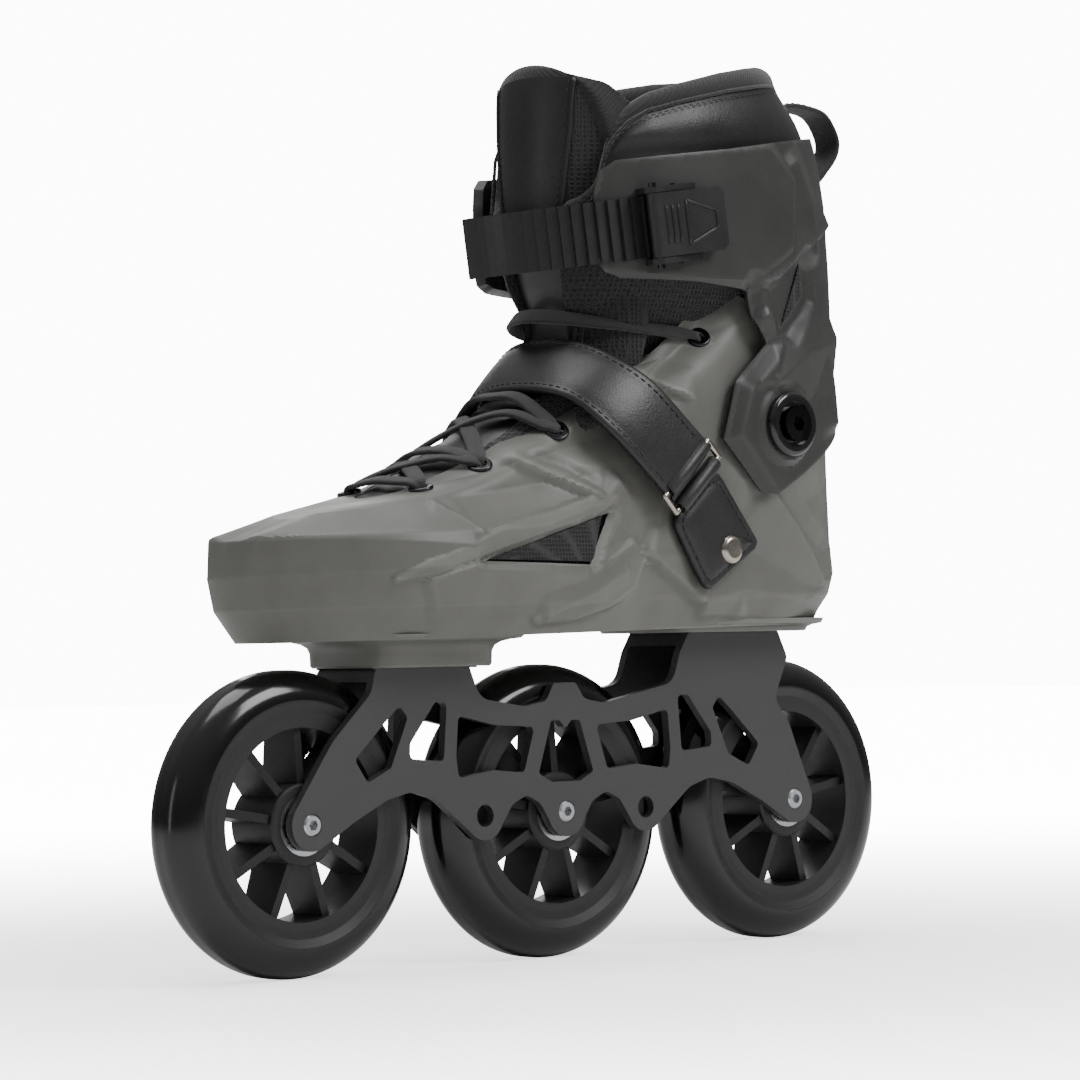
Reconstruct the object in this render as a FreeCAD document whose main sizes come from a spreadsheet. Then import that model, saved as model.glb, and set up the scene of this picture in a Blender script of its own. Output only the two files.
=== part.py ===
"""An inline skate for the left foot: a hard boot with a hinged cuff on a three-wheel aluminium frame.

Frame of the model: +X to the toe, +Y to the outer (buckle) side, +Z up, in millimetres.
The origin is on the ground, under the middle axle, on the centre plane of the wheels.
"""
import FreeCAD, Part

import math
import os

import Sketcher
from FreeCAD import Placement, Rotation, Vector

OUT = "parts"
X_AXIS = Vector(1, 0, 0)
Y_AXIS = Vector(0, 1, 0)
Z_AXIS = Vector(0, 0, 1)

DIMENSIONS = [
    # alias, millimetres (or a count, or degrees), what it is
    ("wheel_radius", 55, "tread to axle"),
    ("wheel_half_width", 12, "half of the tyre and hub width"),
    ("axle_pitch", 121.5, "from one axle to the next"),
    ("tyre_inner_radius", 37.5, "where the tyre is bonded to the core"),
    ("tyre_crown", 11.5, "height of the rounded tread above the side walls"),
    ("tread_flat", 4, "width of the flat band in the middle of the tread"),
    ("rim_inner_radius", 34.5, "inside of the core's rim"),
    ("hub_radius", 14.8, "outside of the core's hub"),
    ("hub_bore_radius", 8.5, "bore between the two bearing seats"),
    ("spoke_count", 9, "spokes in each core"),
    ("spoke_thickness", 3.2, "spoke thickness"),
    ("bearing_radius", 11, "bearing outside radius"),
    ("bearing_bore_radius", 4.02, "bearing bore, a close fit on the axle"),
    ("bearing_width", 7, "bearing width"),
    ("ball_radius", 1.984, "5/32 inch ball"),
    ("ball_pitch_radius", 7.5, "circle of the ball centres"),
    ("ball_count", 7, "balls in each bearing"),
    ("ball_gap", 0.06, "running clearance round each ball"),
    ("axle_radius", 3.98, "axle shank"),
    ("axle_hole_radius", 4.05, "hole in the frame for an axle"),
    ("plate_inner", 13, "centre plane to the inside of a side plate"),
    ("plate_outer", 16.5, "centre plane to the outside of a side plate"),
    ("front_deck_top", 110, "height of the front mounting face"),
    ("rear_deck_top", 121, "height of the rear mounting face"),
    ("deck_thickness", 5, "thickness of both mounting decks"),
    ("boss_radius", 9.3, "frame boss round each axle"),
    ("lug_radius", 9, "frame lug round each spare axle hole"),
    ("front_bolt_x", 71, "front mounting bolt"),
    ("rear_bolt_x", -94, "rear mounting bolt, 165 behind the front one"),
    ("bolt_radius", 4, "mounting bolt shank"),
    ("bolt_head_radius", 6.5, "mounting bolt head"),
    ("shell_thickness", 3.2, "wall of the lower shell"),
    ("sole_thickness", 4.5, "floor of the lower shell"),
    ("liner_thickness", 7.5, "padding of the inner boot"),
    ("cuff_thickness", 4.5, "wall of the cuff"),
    ("pivot_x", -90, "cuff pivot"),
    ("pivot_height", 200, "cuff pivot above the ground"),
    ("pivot_radius", 5, "pivot sleeve on which the cuff turns"),
    ("pivot_gap", 0.06, "running clearance of the cuff on its pivot"),
    ("pivot_cap_radius", 12.5, "cap over each pivot bolt"),
    ("strap_height", 23, "width of the ladder strap"),
    ("strap_level", 275, "middle of the ladder strap above the ground"),
    ("strap_tilt", 8, "degrees by which strap and buckle slope down to the toe"),
    ("tooth_pitch", 4.4, "pitch of the ladder teeth"),
    ("eyelet_radius", 4.6, "lace eyelet flange"),
    ("eyelet_hole_radius", 2.7, "hole in a lace eyelet"),
    ("lace_radius", 1.45, "lace, half its thickness as a cord"),
    ("ring_wire_radius", 1.2, "wire of the strap ring"),
]

doc = FreeCAD.newDocument("inline_skate")
sheet = doc.addObject("Spreadsheet::Sheet", "Dimensions")
VALUES = {}
for row, (alias, value, note) in enumerate(DIMENSIONS, 1):
    sheet.set(f"A{row}", note)
    sheet.set(f"B{row}", str(value))
    sheet.setAlias(f"B{row}", alias)
    VALUES[alias] = float(value)
doc.recompute()


def dim(alias):
    """The number in the sheet's cell with that alias."""
    return VALUES[alias]


class Size:
    """A number from the sheet, or worked out from some, with the expression that gives it."""

    def __init__(self, value, text):
        self.value = value
        self.text = text

    def __add__(self, other):
        other = as_size(other)
        return Size(self.value + other.value, f"({self.text} + {other.text})")

    def __sub__(self, other):
        other = as_size(other)
        return Size(self.value - other.value, f"({self.text} - {other.text})")

    def __mul__(self, factor):
        return Size(self.value * factor, f"({self.text} * {factor})")

    def __neg__(self):
        return Size(-self.value, f"(-{self.text})")


def as_size(number):
    return number if isinstance(number, Size) else Size(float(number), str(float(number)))


def cell(alias):
    return Size(dim(alias), f"Dimensions.{alias}")


def bind(feature, prop, number):
    """Ties a property of a feature to the sheet."""
    feature.setExpression(prop, as_size(number).text)


# ---------------------------------------------------------------- PartDesign helpers


def new_body(label):
    return doc.addObject("PartDesign::Body", label)


def origin_feature(body, role):
    return [f for f in body.Origin.OriginFeatures if f.Role == role][0]


def new_sketch(body, name, role):
    sketch = body.newObject("Sketcher::SketchObject", name)
    sketch.AttachmentSupport = [(origin_feature(body, role), "")]
    sketch.MapMode = "FlatFace"
    return sketch


def place_point(sketch, geometry, position, point):
    """Fixes a point of the sketch at two coordinates, bound to the sheet where they come from it."""
    for kind, coordinate in zip(("DistanceX", "DistanceY"), point):
        size = as_size(coordinate)
        index = sketch.addConstraint(Sketcher.Constraint(kind, geometry, position, size.value))
        if "Dimensions" in size.text:
            sketch.setExpression(f"Constraints[{index}]", size.text)


def add_polygon(sketch, points):
    """A closed outline of straight edges through the given points."""
    flat = [Vector(as_size(a).value, as_size(b).value, 0) for a, b in points]
    first = sketch.GeometryCount
    count = len(flat)
    for i in range(count):
        sketch.addGeometry(Part.LineSegment(flat[i], flat[(i + 1) % count]))
    for i in range(count):
        sketch.addConstraint(Sketcher.Constraint("Coincident", first + i, 2, first + (i + 1) % count, 1))
    for i, point in enumerate(points):
        place_point(sketch, first + i, 1, point)


def add_circle(sketch, centre, radius):
    radius = as_size(radius)
    flat = Vector(as_size(centre[0]).value, as_size(centre[1]).value, 0)
    circle = sketch.addGeometry(Part.Circle(flat, Z_AXIS, radius.value))
    place_point(sketch, circle, 3, centre)
    index = sketch.addConstraint(Sketcher.Constraint("Radius", circle, radius.value))
    if "Dimensions" in radius.text:
        sketch.setExpression(f"Constraints[{index}]", radius.text)


def symmetric(body, kind, name, sketch, length):
    """A Pad or Pocket of that length, centred on its sketch."""
    feature = body.newObject(f"PartDesign::{kind}", name)
    feature.Profile = sketch
    feature.SideType = "Symmetric"
    bind(feature, "Length", length)
    doc.recompute()
    return feature


def revolve(body, kind, name, sketch):
    """A Revolution or Groove of a sketch on the YZ plane, about the body's Y axis."""
    feature = body.newObject(f"PartDesign::{kind}", name)
    feature.Profile = sketch
    feature.ReferenceAxis = (sketch, ["H_Axis"])
    feature.Angle = 360
    doc.recompute()
    return feature


def round_corners(body, name, base, radius_of):
    """Fillets the edges that run along Y at the corners in radius_of, a dict of (x, z) to radius."""
    groups = {}
    for number, edge in enumerate(base.Shape.Edges, 1):
        ends = [v.Point for v in edge.Vertexes]
        if len(ends) != 2 or Vector(ends[0] - ends[1]).cross(Y_AXIS).Length > 1e-6:
            continue
        for (x, z), radius in radius_of.items():
            if abs(ends[0].x - x) < 0.01 and abs(ends[0].z - z) < 0.01:
                groups.setdefault(radius, []).append((x, z))
    feature = base
    for radius, corners in groups.items():
        edges = []
        for number, edge in enumerate(feature.Shape.Edges, 1):
            ends = [v.Point for v in edge.Vertexes]
            if len(ends) != 2 or Vector(ends[0] - ends[1]).cross(Y_AXIS).Length > 1e-6:
                continue
            if any(abs(ends[0].x - x) < 0.01 and abs(ends[0].z - z) < 0.01 for x, z in corners):
                edges.append(f"Edge{number}")
        fillet = body.newObject("PartDesign::Fillet", f"{name}_{len(groups)}_{str(radius).replace('.', '_')}")
        fillet.Base = (feature, edges)
        fillet.Radius = radius
        doc.recompute()
        feature = fillet
    return feature


# ---------------------------------------------------------------- Part helpers

ALONG_Y = Rotation(X_AXIS, -90)


def cylinder_y(name, radius, length, start):
    """A cylinder along +Y that starts at y = start, on the Y axis."""
    feature = doc.addObject("Part::Cylinder", name)
    bind(feature, "Radius", radius)
    bind(feature, "Height", length)
    feature.Placement = Placement(Vector(0, as_size(start).value, 0), ALONG_Y)
    bind(feature, "Placement.Base.y", start)
    return feature


def ring_y(name, outer, inner, length, start):
    """A tube along +Y that starts at y = start."""
    feature = doc.addObject("Part::Cut", name)
    feature.Base = cylinder_y(f"{name}_outside", outer, length, start)
    feature.Tool = cylinder_y(f"{name}_inside", inner, length, start)
    return feature


def mirrored_y(name, source):
    """The mirror image of source on the other side of the centre plane."""
    feature = doc.addObject("Part::Mirroring", name)
    feature.Source = source
    feature.Normal = Y_AXIS
    feature.Base = Vector(0, 0, 0)
    return feature


def group(label, members, x=0, z=0):
    """Separate solids that share one node."""
    feature = doc.addObject("Part::Compound", label)
    feature.Links = members
    bind(feature, "Placement.Base.x", x)
    bind(feature, "Placement.Base.z", z)
    return feature


def solid_feature(label, shape):
    feature = doc.addObject("Part::Feature", label)
    feature.Shape = shape
    return feature


def place_wheel_body(body, x):
    """Moves a body modelled round its own Y axis to an axle."""
    bind(body, "Placement.Base.x", x)
    bind(body, "Placement.Base.z", cell("wheel_radius"))


# ---------------------------------------------------------------- frame

PITCH = cell("axle_pitch")
AXLE_X = {"front": PITCH, "middle": as_size(0), "rear": -PITCH}
SPARE_X = {"front": PITCH * (1 / 3), "rear": PITCH * (-1 / 3)}
AXLE_Z = cell("wheel_radius")

# the side plate's outline, corner by corner: x, z and the radius that rounds it
LOWER_EDGE = [
    (116.5, 47.2, 0),
    (103, 55, 12),
    (87, 62.6, 12),
    (75, 65.2, 12),
    (64, 62, 12),
    (46.9, 48.7, 0),
    (40.5, 55, 0),
    (34.1, 48.7, 0),
    (27, 58.8, 6),
    (20, 61.8, 4),
    (13.2, 58.6, 6),
    (6.8, 48.8, 0),
]
FRONT_TOWER = [
    (5.5, 103, 2),
    (9.5, 96.4, 4),
    (20, 94.6, 10),
    (42, 98, 8),
    (47, 110, 1.2),
    (91.5, 110, 2.5),
    (93.8, 101, 6),
    (112, 84, 30),
    (129.6, 59.6, 0),
]
REAR_TOWER = [
    (-5.5, 103, 2),
    (-9.8, 96.8, 4),
    (-20, 95, 10),
    (-56, 102, 8),
    (-60, 113.5, 4),
    (-64.8, 121, 1.2),
    (-113.5, 121, 1.5),
    (-118.5, 110.8, 3),
    (-111, 94.5, 6),
    (-118.8, 85, 10),
    (-129.6, 59.6, 0),
]
# the windows of the front half, which the rear half mirrors
SLANTED_WINDOW = [(80.5, 96.3), (76.8, 92), (85, 74), (96, 69), (101.8, 77.4), (88, 90)]
POST_WINDOW = [(63.8, 97.2), (58.2, 97), (60, 75.6), (76, 77), (75.8, 82.5)]
LONG_WINDOW = [(52.8, 92), (34, 88), (15.5, 87), (21, 70.2), (36, 71.6), (53, 69.2), (54, 77)]
CENTRE_WINDOW = [
    (7.2, 89),
    (3, 89),
    (0, 86),
    (-3, 89),
    (-7.2, 89),
    (-13.8, 69.6),
    (-7, 66.2),
    (7, 66.2),
    (13.8, 69.6),
]
WINDOW_ROUNDING = 1.9
NOTCH_ROUNDING = 1.2


def plate_outline():
    """Corners of the side plate from the middle of the top edge, towards the toe and round."""
    centre_z = 55
    front = FRONT_TOWER + [(121.5, centre_z, 0)] + LOWER_EDGE
    rear = [(-x, z, r) for x, z, r in reversed(LOWER_EDGE)] + [(-121.5, centre_z, 0)]
    return front + [(0, centre_z, 0)] + rear + list(reversed(REAR_TOWER))


def on_plate(x, z):
    """A corner with the coordinates that the sheet drives bound to it."""
    tied = {110: cell("front_deck_top"), 121: cell("rear_deck_top"), 55: AXLE_Z}
    tied_x = {121.5: PITCH, -121.5: -PITCH, 40.5: SPARE_X["front"], -40.5: SPARE_X["rear"]}
    return tied_x.get(x, x), tied.get(z, z)


def make_frame():
    body = new_body("frame")
    outline = plate_outline()
    sketch = new_sketch(body, "plate_sketch", "XZ_Plane")
    add_polygon(sketch, [on_plate(x, z) for x, z, _ in outline])
    width = cell("plate_outer") * 2
    pad = symmetric(body, "Pad", "plates", sketch, width)

    windows = new_sketch(body, "window_sketch", "XZ_Plane")
    for window in (SLANTED_WINDOW, POST_WINDOW, LONG_WINDOW):
        add_polygon(windows, window)
    cut = symmetric(body, "Pocket", "windows", windows, width + 2)
    mirror = body.newObject("PartDesign::Mirrored", "rear_windows")
    mirror.Originals = [cut]
    mirror.MirrorPlane = (origin_feature(body, "YZ_Plane"), [""])
    body.Tip = mirror
    doc.recompute()
    centre = new_sketch(body, "centre_window_sketch", "XZ_Plane")
    add_polygon(centre, CENTRE_WINDOW)
    last = symmetric(body, "Pocket", "centre_window", centre, width + 2)

    rounding = {(x, z): r for x, z, r in outline if r}
    for window in (SLANTED_WINDOW, POST_WINDOW, LONG_WINDOW):
        for x, z in window:
            rounding[(x, z)] = WINDOW_ROUNDING
            rounding[(-x, z)] = WINDOW_ROUNDING
    for corner in CENTRE_WINDOW:
        rounding[corner] = NOTCH_ROUNDING
    round_corners(body, "corner", last, rounding)

    bosses = new_sketch(body, "boss_sketch", "XZ_Plane")
    for x in AXLE_X.values():
        add_circle(bosses, (x, AXLE_Z), cell("boss_radius"))
    for x in SPARE_X.values():
        add_circle(bosses, (x, AXLE_Z), cell("lug_radius"))
    symmetric(body, "Pad", "bosses", bosses, width)

    # the channel between the plates, open below each deck
    inner = cell("plate_inner")
    channel = new_sketch(body, "channel_sketch", "YZ_Plane")
    roof = cell("front_deck_top") - cell("deck_thickness")
    add_polygon(channel, [(-inner, 0), (inner, 0), (inner, roof), (-inner, roof)])
    symmetric(body, "Pocket", "channel", channel, PITCH * 4)
    rear = new_sketch(body, "rear_channel_sketch", "XZ_Plane")
    rear_roof = cell("rear_deck_top") - cell("deck_thickness")
    add_polygon(rear, [(-140, 90), (-20, 90), (-20, rear_roof), (-140, rear_roof)])
    symmetric(body, "Pocket", "rear_channel", rear, inner * 2)

    holes = new_sketch(body, "hole_sketch", "XZ_Plane")
    for x in list(AXLE_X.values()) + list(SPARE_X.values()):
        add_circle(holes, (x, AXLE_Z), cell("axle_hole_radius"))
    symmetric(body, "Pocket", "axle_holes", holes, width + 2)

    # a slot across each deck lets the frame be set to one side
    slots = new_sketch(body, "slot_sketch", "XY_Plane")
    half = cell("bolt_radius") + 0.3
    for x in (cell("front_bolt_x"), cell("rear_bolt_x")):
        add_polygon(slots, [(x - half, -8), (x + half, -8), (x + half, 8), (x - half, 8)])
    pocket = symmetric(body, "Pocket", "slots", slots, cell("rear_deck_top") * 3)
    return body, pocket


make_frame()


def make_axle(name, x):
    """A one-piece axle: button head on the inner side, threaded end flush in the outer plate."""
    body = new_body(f"axle_{name}")
    outer = cell("plate_outer")
    profile = new_sketch(body, f"axle_profile_{name}", "YZ_Plane")
    radius = cell("axle_radius")
    points = [
        (-outer - 3, 0),
        (-outer - 3, 4.2),
        (-outer - 1.6, 6.2),
        (-outer, 6.6),
        (-outer, radius),
        (outer - 0.2, radius),
        (outer + 0.5, radius - 0.7),
        (outer + 0.5, 0),
    ]
    add_polygon(profile, points)
    revolve(body, "Revolution", f"axle_shank_{name}", profile)
    for side, across, start in (("head", 2.3, -outer - 3), ("end", 2.0, outer + 0.5)):
        key = new_sketch(body, f"axle_key_{side}_{name}", "XZ_Plane")
        turns = [math.radians(degrees) for degrees in range(0, 360, 60)]
        hexagon = [(across * math.cos(a), across * math.sin(a)) for a in turns]
        add_polygon(key, hexagon)
        key.AttachmentOffset = Placement(Vector(0, 0, -start.value), Rotation())
        symmetric(body, "Pocket", f"axle_socket_{side}_{name}", key, 6)
    place_wheel_body(body, x)


# ---------------------------------------------------------------- wheels


def make_tyre(name, x):
    """The urethane tyre: flat side walls and a rounded tread."""
    body = new_body(f"tyre_{name}")
    sketch = new_sketch(body, f"tyre_profile_{name}", "YZ_Plane")
    half, tip, inner = dim("wheel_half_width"), dim("wheel_radius"), dim("tyre_inner_radius")
    shoulder = tip - dim("tyre_crown")
    flat = dim("tread_flat") / 2
    wall_inset = 1.2
    steps = 6

    def crown(side):
        """Points of the quarter oval from the shoulder to the flat of the tread."""
        points = []
        for i in range(steps + 1):
            angle = math.radians(90 * i / steps)
            y = flat + (half - flat) * math.cos(angle)
            points.append(Vector(side * y, shoulder + (tip - shoulder) * math.sin(angle), 0))
        return points

    def curve(points):
        spline = Part.BSplineCurve()
        spline.interpolate(points)
        return spline

    right, left = crown(1), crown(-1)
    corners = [
        Vector(-half + wall_inset, inner, 0),
        Vector(half - wall_inset, inner, 0),
        Vector(half - wall_inset, shoulder - 3, 0),
        right[0],
        right[-1],
        left[-1],
        left[0],
        Vector(-half + wall_inset, shoulder - 3, 0),
    ]
    pieces = [Part.LineSegment(corners[i], corners[i + 1]) for i in range(3)]
    pieces.append(curve(right))
    pieces.append(Part.LineSegment(right[-1], left[-1]))
    pieces.append(curve(list(reversed(left))))
    pieces.append(Part.LineSegment(left[0], corners[7]))
    pieces.append(Part.LineSegment(corners[7], corners[0]))
    for piece in pieces:
        sketch.addGeometry(piece)
    count = len(pieces)
    for i in range(count):
        sketch.addConstraint(Sketcher.Constraint("Coincident", i, 2, (i + 1) % count, 1))
    tread, bond = 4, 0
    for geometry, height in ((tread, cell("wheel_radius")), (bond, cell("tyre_inner_radius"))):
        sketch.addConstraint(Sketcher.Constraint("Horizontal", geometry))
        index = sketch.addConstraint(Sketcher.Constraint("DistanceY", geometry, 1, height.value))
        sketch.setExpression(f"Constraints[{index}]", height.text)
    revolve(body, "Revolution", f"tyre_ring_{name}", sketch)
    place_wheel_body(body, x)


def make_core(name, x):
    """The moulded core: hub with two bearing seats, spokes and rim."""
    body = new_body(f"core_{name}")
    half = cell("wheel_half_width")
    seat = half - cell("bearing_width")
    bore, hub, race = cell("hub_bore_radius"), cell("hub_radius"), cell("bearing_radius") + 0.01
    profile = new_sketch(body, f"hub_profile_{name}", "YZ_Plane")
    hub_points = [
        (-half, race),
        (-half, hub - 0.8),
        (-half + 0.8, hub),
        (half - 0.8, hub),
        (half, hub - 0.8),
        (half, race),
        (seat, race),
        (seat, bore),
        (-seat, bore),
        (-seat, race),
    ]
    add_polygon(profile, hub_points)
    revolve(body, "Revolution", f"hub_{name}", profile)
    spoke = new_sketch(body, f"spoke_profile_{name}", "YZ_Plane")
    rim, hub_inside = cell("rim_inner_radius"), hub - 1
    wide, narrow = 10.2, 8.2
    add_polygon(spoke, [(-wide, hub_inside), (wide, hub_inside), (narrow, rim + 1), (-narrow, rim + 1)])
    pad = symmetric(body, "Pad", f"spoke_{name}", spoke, cell("spoke_thickness"))
    pattern = body.newObject("PartDesign::PolarPattern", f"spokes_{name}")
    pattern.Originals = [pad]
    pattern.Axis = (origin_feature(body, "Y_Axis"), [""])
    pattern.Angle = 360
    bind(pattern, "Occurrences", cell("spoke_count"))
    body.Tip = pattern
    doc.recompute()
    outer = cell("tyre_inner_radius")
    wall = half - 1.2
    ring = new_sketch(body, f"rim_profile_{name}", "YZ_Plane")
    add_polygon(ring, [(-wall, rim), (wall, rim), (wall, outer), (-wall, outer)])
    revolve(body, "Revolution", f"rim_{name}", ring)
    place_wheel_body(body, x)


def race_with_groove(name, outer, inner, start):
    """One bearing ring with the ball groove cut in it."""
    groove = doc.addObject("Part::Torus", f"{name}_groove")
    bind(groove, "Radius1", cell("ball_pitch_radius"))
    bind(groove, "Radius2", cell("ball_radius") + cell("ball_gap"))
    groove.Placement = Placement(Vector(0, 0, 0), ALONG_Y)
    bind(groove, "Placement.Base.y", as_size(start) + cell("bearing_width") * 0.5)
    feature = doc.addObject("Part::Cut", name)
    feature.Base = ring_y(f"{name}_ring", outer, inner, cell("bearing_width"), start)
    feature.Tool = groove
    return feature


def make_bearings(name, x):
    """Two ball bearings, their rings, balls and shields, and the spacer between them."""
    seat = cell("wheel_half_width") - cell("bearing_width")
    outer = race_with_groove(f"outer_race_{name}", cell("bearing_radius"), as_size(9.1), seat)
    group(f"bearing_outer_races_{name}", [outer, mirrored_y(f"outer_race_inboard_{name}", outer)], x, AXLE_Z)
    inner = race_with_groove(f"inner_race_{name}", as_size(6.0), cell("bearing_bore_radius"), seat)
    group(f"bearing_inner_races_{name}", [inner, mirrored_y(f"inner_race_inboard_{name}", inner)], x, AXLE_Z)

    balls = []
    for side in (1, -1):
        middle = (seat + cell("bearing_width") * 0.5) * side
        for i in range(int(dim("ball_count"))):
            angle = 2 * math.pi * i / dim("ball_count")
            ball = doc.addObject("Part::Sphere", f"ball_{name}")
            bind(ball, "Radius", cell("ball_radius"))
            bind(ball, "Placement.Base.x", cell("ball_pitch_radius") * math.cos(angle))
            bind(ball, "Placement.Base.y", middle)
            bind(ball, "Placement.Base.z", cell("ball_pitch_radius") * math.sin(angle))
            balls.append(ball)
    group(f"bearing_balls_{name}", balls, x, AXLE_Z)

    shields = []
    for start in (seat + 0.2, seat + cell("bearing_width") - 0.5):
        shield = ring_y(f"shield_{name}", as_size(9.05), as_size(6.3), as_size(0.3), start)
        shields += [shield, mirrored_y(f"shield_inboard_{name}", shield)]
    group(f"bearing_shields_{name}", shields, x, AXLE_Z)

    spacer = ring_y(f"spacer_tube_{name}", as_size(5.8), cell("bearing_bore_radius"), seat * 2, -seat)
    group(f"bearing_spacer_{name}", [spacer], x, AXLE_Z)


def make_axle_washers():
    """Thin washers that hold each bearing's inner ring off the frame."""
    washers = []
    for name, x in AXLE_X.items():
        start = cell("wheel_half_width")
        thickness = cell("plate_inner") - cell("wheel_half_width")
        washer = ring_y(f"washer_{name}", as_size(5.6), cell("bearing_bore_radius"), thickness, start)
        pair = group(f"washer_pair_{name}", [washer, mirrored_y(f"washer_inboard_{name}", washer)], x, AXLE_Z)
        washers.append(pair)
    group("axle_washers", washers)


for wheel, wheel_x in AXLE_X.items():
    make_tyre(wheel, wheel_x)
    make_core(wheel, wheel_x)
    make_bearings(wheel, wheel_x)
    make_axle(wheel, wheel_x)
make_axle_washers()


# ---------------------------------------------------------------- boot surfaces

# Slanted sections of the lower boot from sole to ankle: front point, back point (x, z each), and the
# half width at the ball of the foot, the waist and the heel.
FOOT_SECTIONS = [
    ((131, 119.5), (-141, 124), (40, 31, 30)),
    ((138, 131), (-147, 136), (46, 37, 35)),
    ((140, 143), (-149, 155), (48, 40, 36.5)),
    ((137, 156), (-147, 178), (45, 41, 38)),
    ((116, 164), (-144, 203), (34, 40, 40.5)),
    ((78, 173), (-138, 227), (32, 39.5, 40.5)),
    ((34, 191), (-136, 250), (32, 39.5, 40)),
    ((-8, 211), (-135, 268), (31, 39, 39.5)),
    ((-36, 235), (-134, 285), (30, 38, 38)),
]
BALL, WAIST, HEEL = 0.3, 0.58, 0.85
TOE_ROUNDING, HEEL_ROUNDING = 0.26, 0.19
# Level sections of the cuff's outside: height, back x, front x, half width.
CUFF_SECTIONS = [
    (166, -149.5, 12, 46.5),
    (203, -149.5, 12, 47.5),
    (235, -147.5, 12, 47.8),
    (262, -146.5, 12, 48),
    (288, -144.5, 12, 48),
    (316, -139, 11, 47.5),
    (345, -134, 9, 46.5),
]
POINTS_ROUND = 32


def smooth_between(stations, s):
    """Cosine interpolation of (position, value) pairs, level beyond the first and last."""
    if s <= stations[0][0]:
        return stations[0][1]
    for (s0, v0), (s1, v1) in zip(stations, stations[1:]):
        if s <= s1:
            share = (1 - math.cos(math.pi * (s - s0) / (s1 - s0))) / 2
            return v0 + (v1 - v0) * share
    return stations[-1][1]


def end_rounding(distance, length):
    """1 beyond length, falling to 0 at the end along an ellipse."""
    if distance >= length:
        return 1.0
    return math.sqrt(max(0.0, 1 - (1 - distance / length) ** 2))


def toe_shift(x):
    """The toe of a left boot turns in, to the -Y side."""
    return -9 * ((x - 60) / 80) ** 2 if x > 60 else 0.0


def offset_profile(points, inset, inward):
    """Moves the points of an open (x, z) outline by inset, square to it, to the side that inward gives."""
    moved = []
    for i, (x, z) in enumerate(points):
        before, after = points[max(i - 1, 0)], points[min(i + 1, len(points) - 1)]
        along = Vector(after[0] - before[0], 0, after[1] - before[1])
        along.normalize()
        moved.append((x - inward * along.z * inset, z + inward * along.x * inset))
    return moved


def foot_wire(front, back, widths):
    """One closed slanted section of the boot."""
    (xf, zf), (xb, zb) = front, back
    stations = list(zip((BALL, WAIST, HEEL), widths))
    points = []
    for i in range(POINTS_ROUND):
        angle = 2 * math.pi * i / POINTS_ROUND
        s = (1 - math.cos(angle)) / 2
        half = smooth_between(stations, s)
        half *= end_rounding(s, TOE_ROUNDING) * end_rounding(1 - s, HEEL_ROUNDING)
        x = xf + (xb - xf) * s
        side = 1 if angle <= math.pi else -1
        points.append(Vector(x, toe_shift(x) + side * half, zf + (zb - zf) * s))
    return Part.makePolygon(points + points[:1])


def foot_solid(inset, raise_floor=0.0):
    """The boot's closed form from the sole up, inset all round from the shell's outside."""
    fronts = offset_profile([s[0] for s in FOOT_SECTIONS], inset, 1)
    backs = offset_profile([s[1] for s in FOOT_SECTIONS], inset, -1)
    (xf, zf), (xb, zb), _ = FOOT_SECTIONS[0]
    fronts[0] = (xf - inset, zf + raise_floor)
    backs[0] = (xb + inset, zb + raise_floor)
    wires = []
    for front, back, section in zip(fronts, backs, FOOT_SECTIONS):
        wires.append(foot_wire(front, back, [w - inset for w in section[2]]))
    return Part.makeLoft(wires, True, True)


def cuff_at(level):
    """Back x, front x and half width of the cuff's outside at a height."""
    for low, high in zip(CUFF_SECTIONS, CUFF_SECTIONS[1:]):
        if level <= high[0]:
            share = (level - low[0]) / (high[0] - low[0])
            return [low[i] + (high[i] - low[i]) * share for i in (1, 2, 3)]
    return CUFF_SECTIONS[-1][1:]


def oval_point(angle, level, inset):
    """A point of a level section of the leg part, an oval with fuller sides than an ellipse."""
    back, front, half = cuff_at(level)
    reach = (front - back) / 2 - inset
    c, s = math.cos(angle), math.sin(angle)
    x = (front + back) / 2 + reach * math.copysign(abs(c) ** 0.92, c)
    return Vector(x, (half - inset) * math.copysign(abs(s) ** 0.92, s), level)


def leg_solid(inset, low, high):
    """The closed leg form between two heights, inset from the cuff's outside."""
    levels = [low] + [s[0] for s in CUFF_SECTIONS if low < s[0] < high] + [high]
    wires = []
    for level in levels:
        points = [oval_point(2 * math.pi * i / POINTS_ROUND, level, inset) for i in range(POINTS_ROUND)]
        wires.append(Part.makePolygon(points + points[:1]))
    return Part.makeLoft(wires, True, True)


def side_prism(points, y0, y1):
    """A block with the given (x, z) outline, from y0 to y1."""
    wire = Part.makePolygon([Vector(x, y0, z) for x, z in points + points[:1]])
    return Part.Face(wire).extrude(Vector(0, y1 - y0, 0))


def plan_prism(points, z0, z1):
    """A block with the given (x, y) outline, from z0 to z1."""
    wire = Part.makePolygon([Vector(x, y, z0) for x, y in points + points[:1]])
    return Part.Face(wire).extrude(Vector(0, 0, z1 - z0))


def rod(start, end, radius):
    axis = end - start
    return Part.makeCylinder(radius, axis.Length, start, axis)


def both_sides(shape):
    return shape.fuse(shape.mirror(Vector(0, 0, 0), Y_AXIS))


def line_hits(shape, start, end):
    """Where a line passes through the surface of a solid."""
    inside = shape.common(Part.makeLine(start, end))
    return [v.Point for v in inside.Vertexes]


# ---------------------------------------------------------------- lower shell

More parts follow.
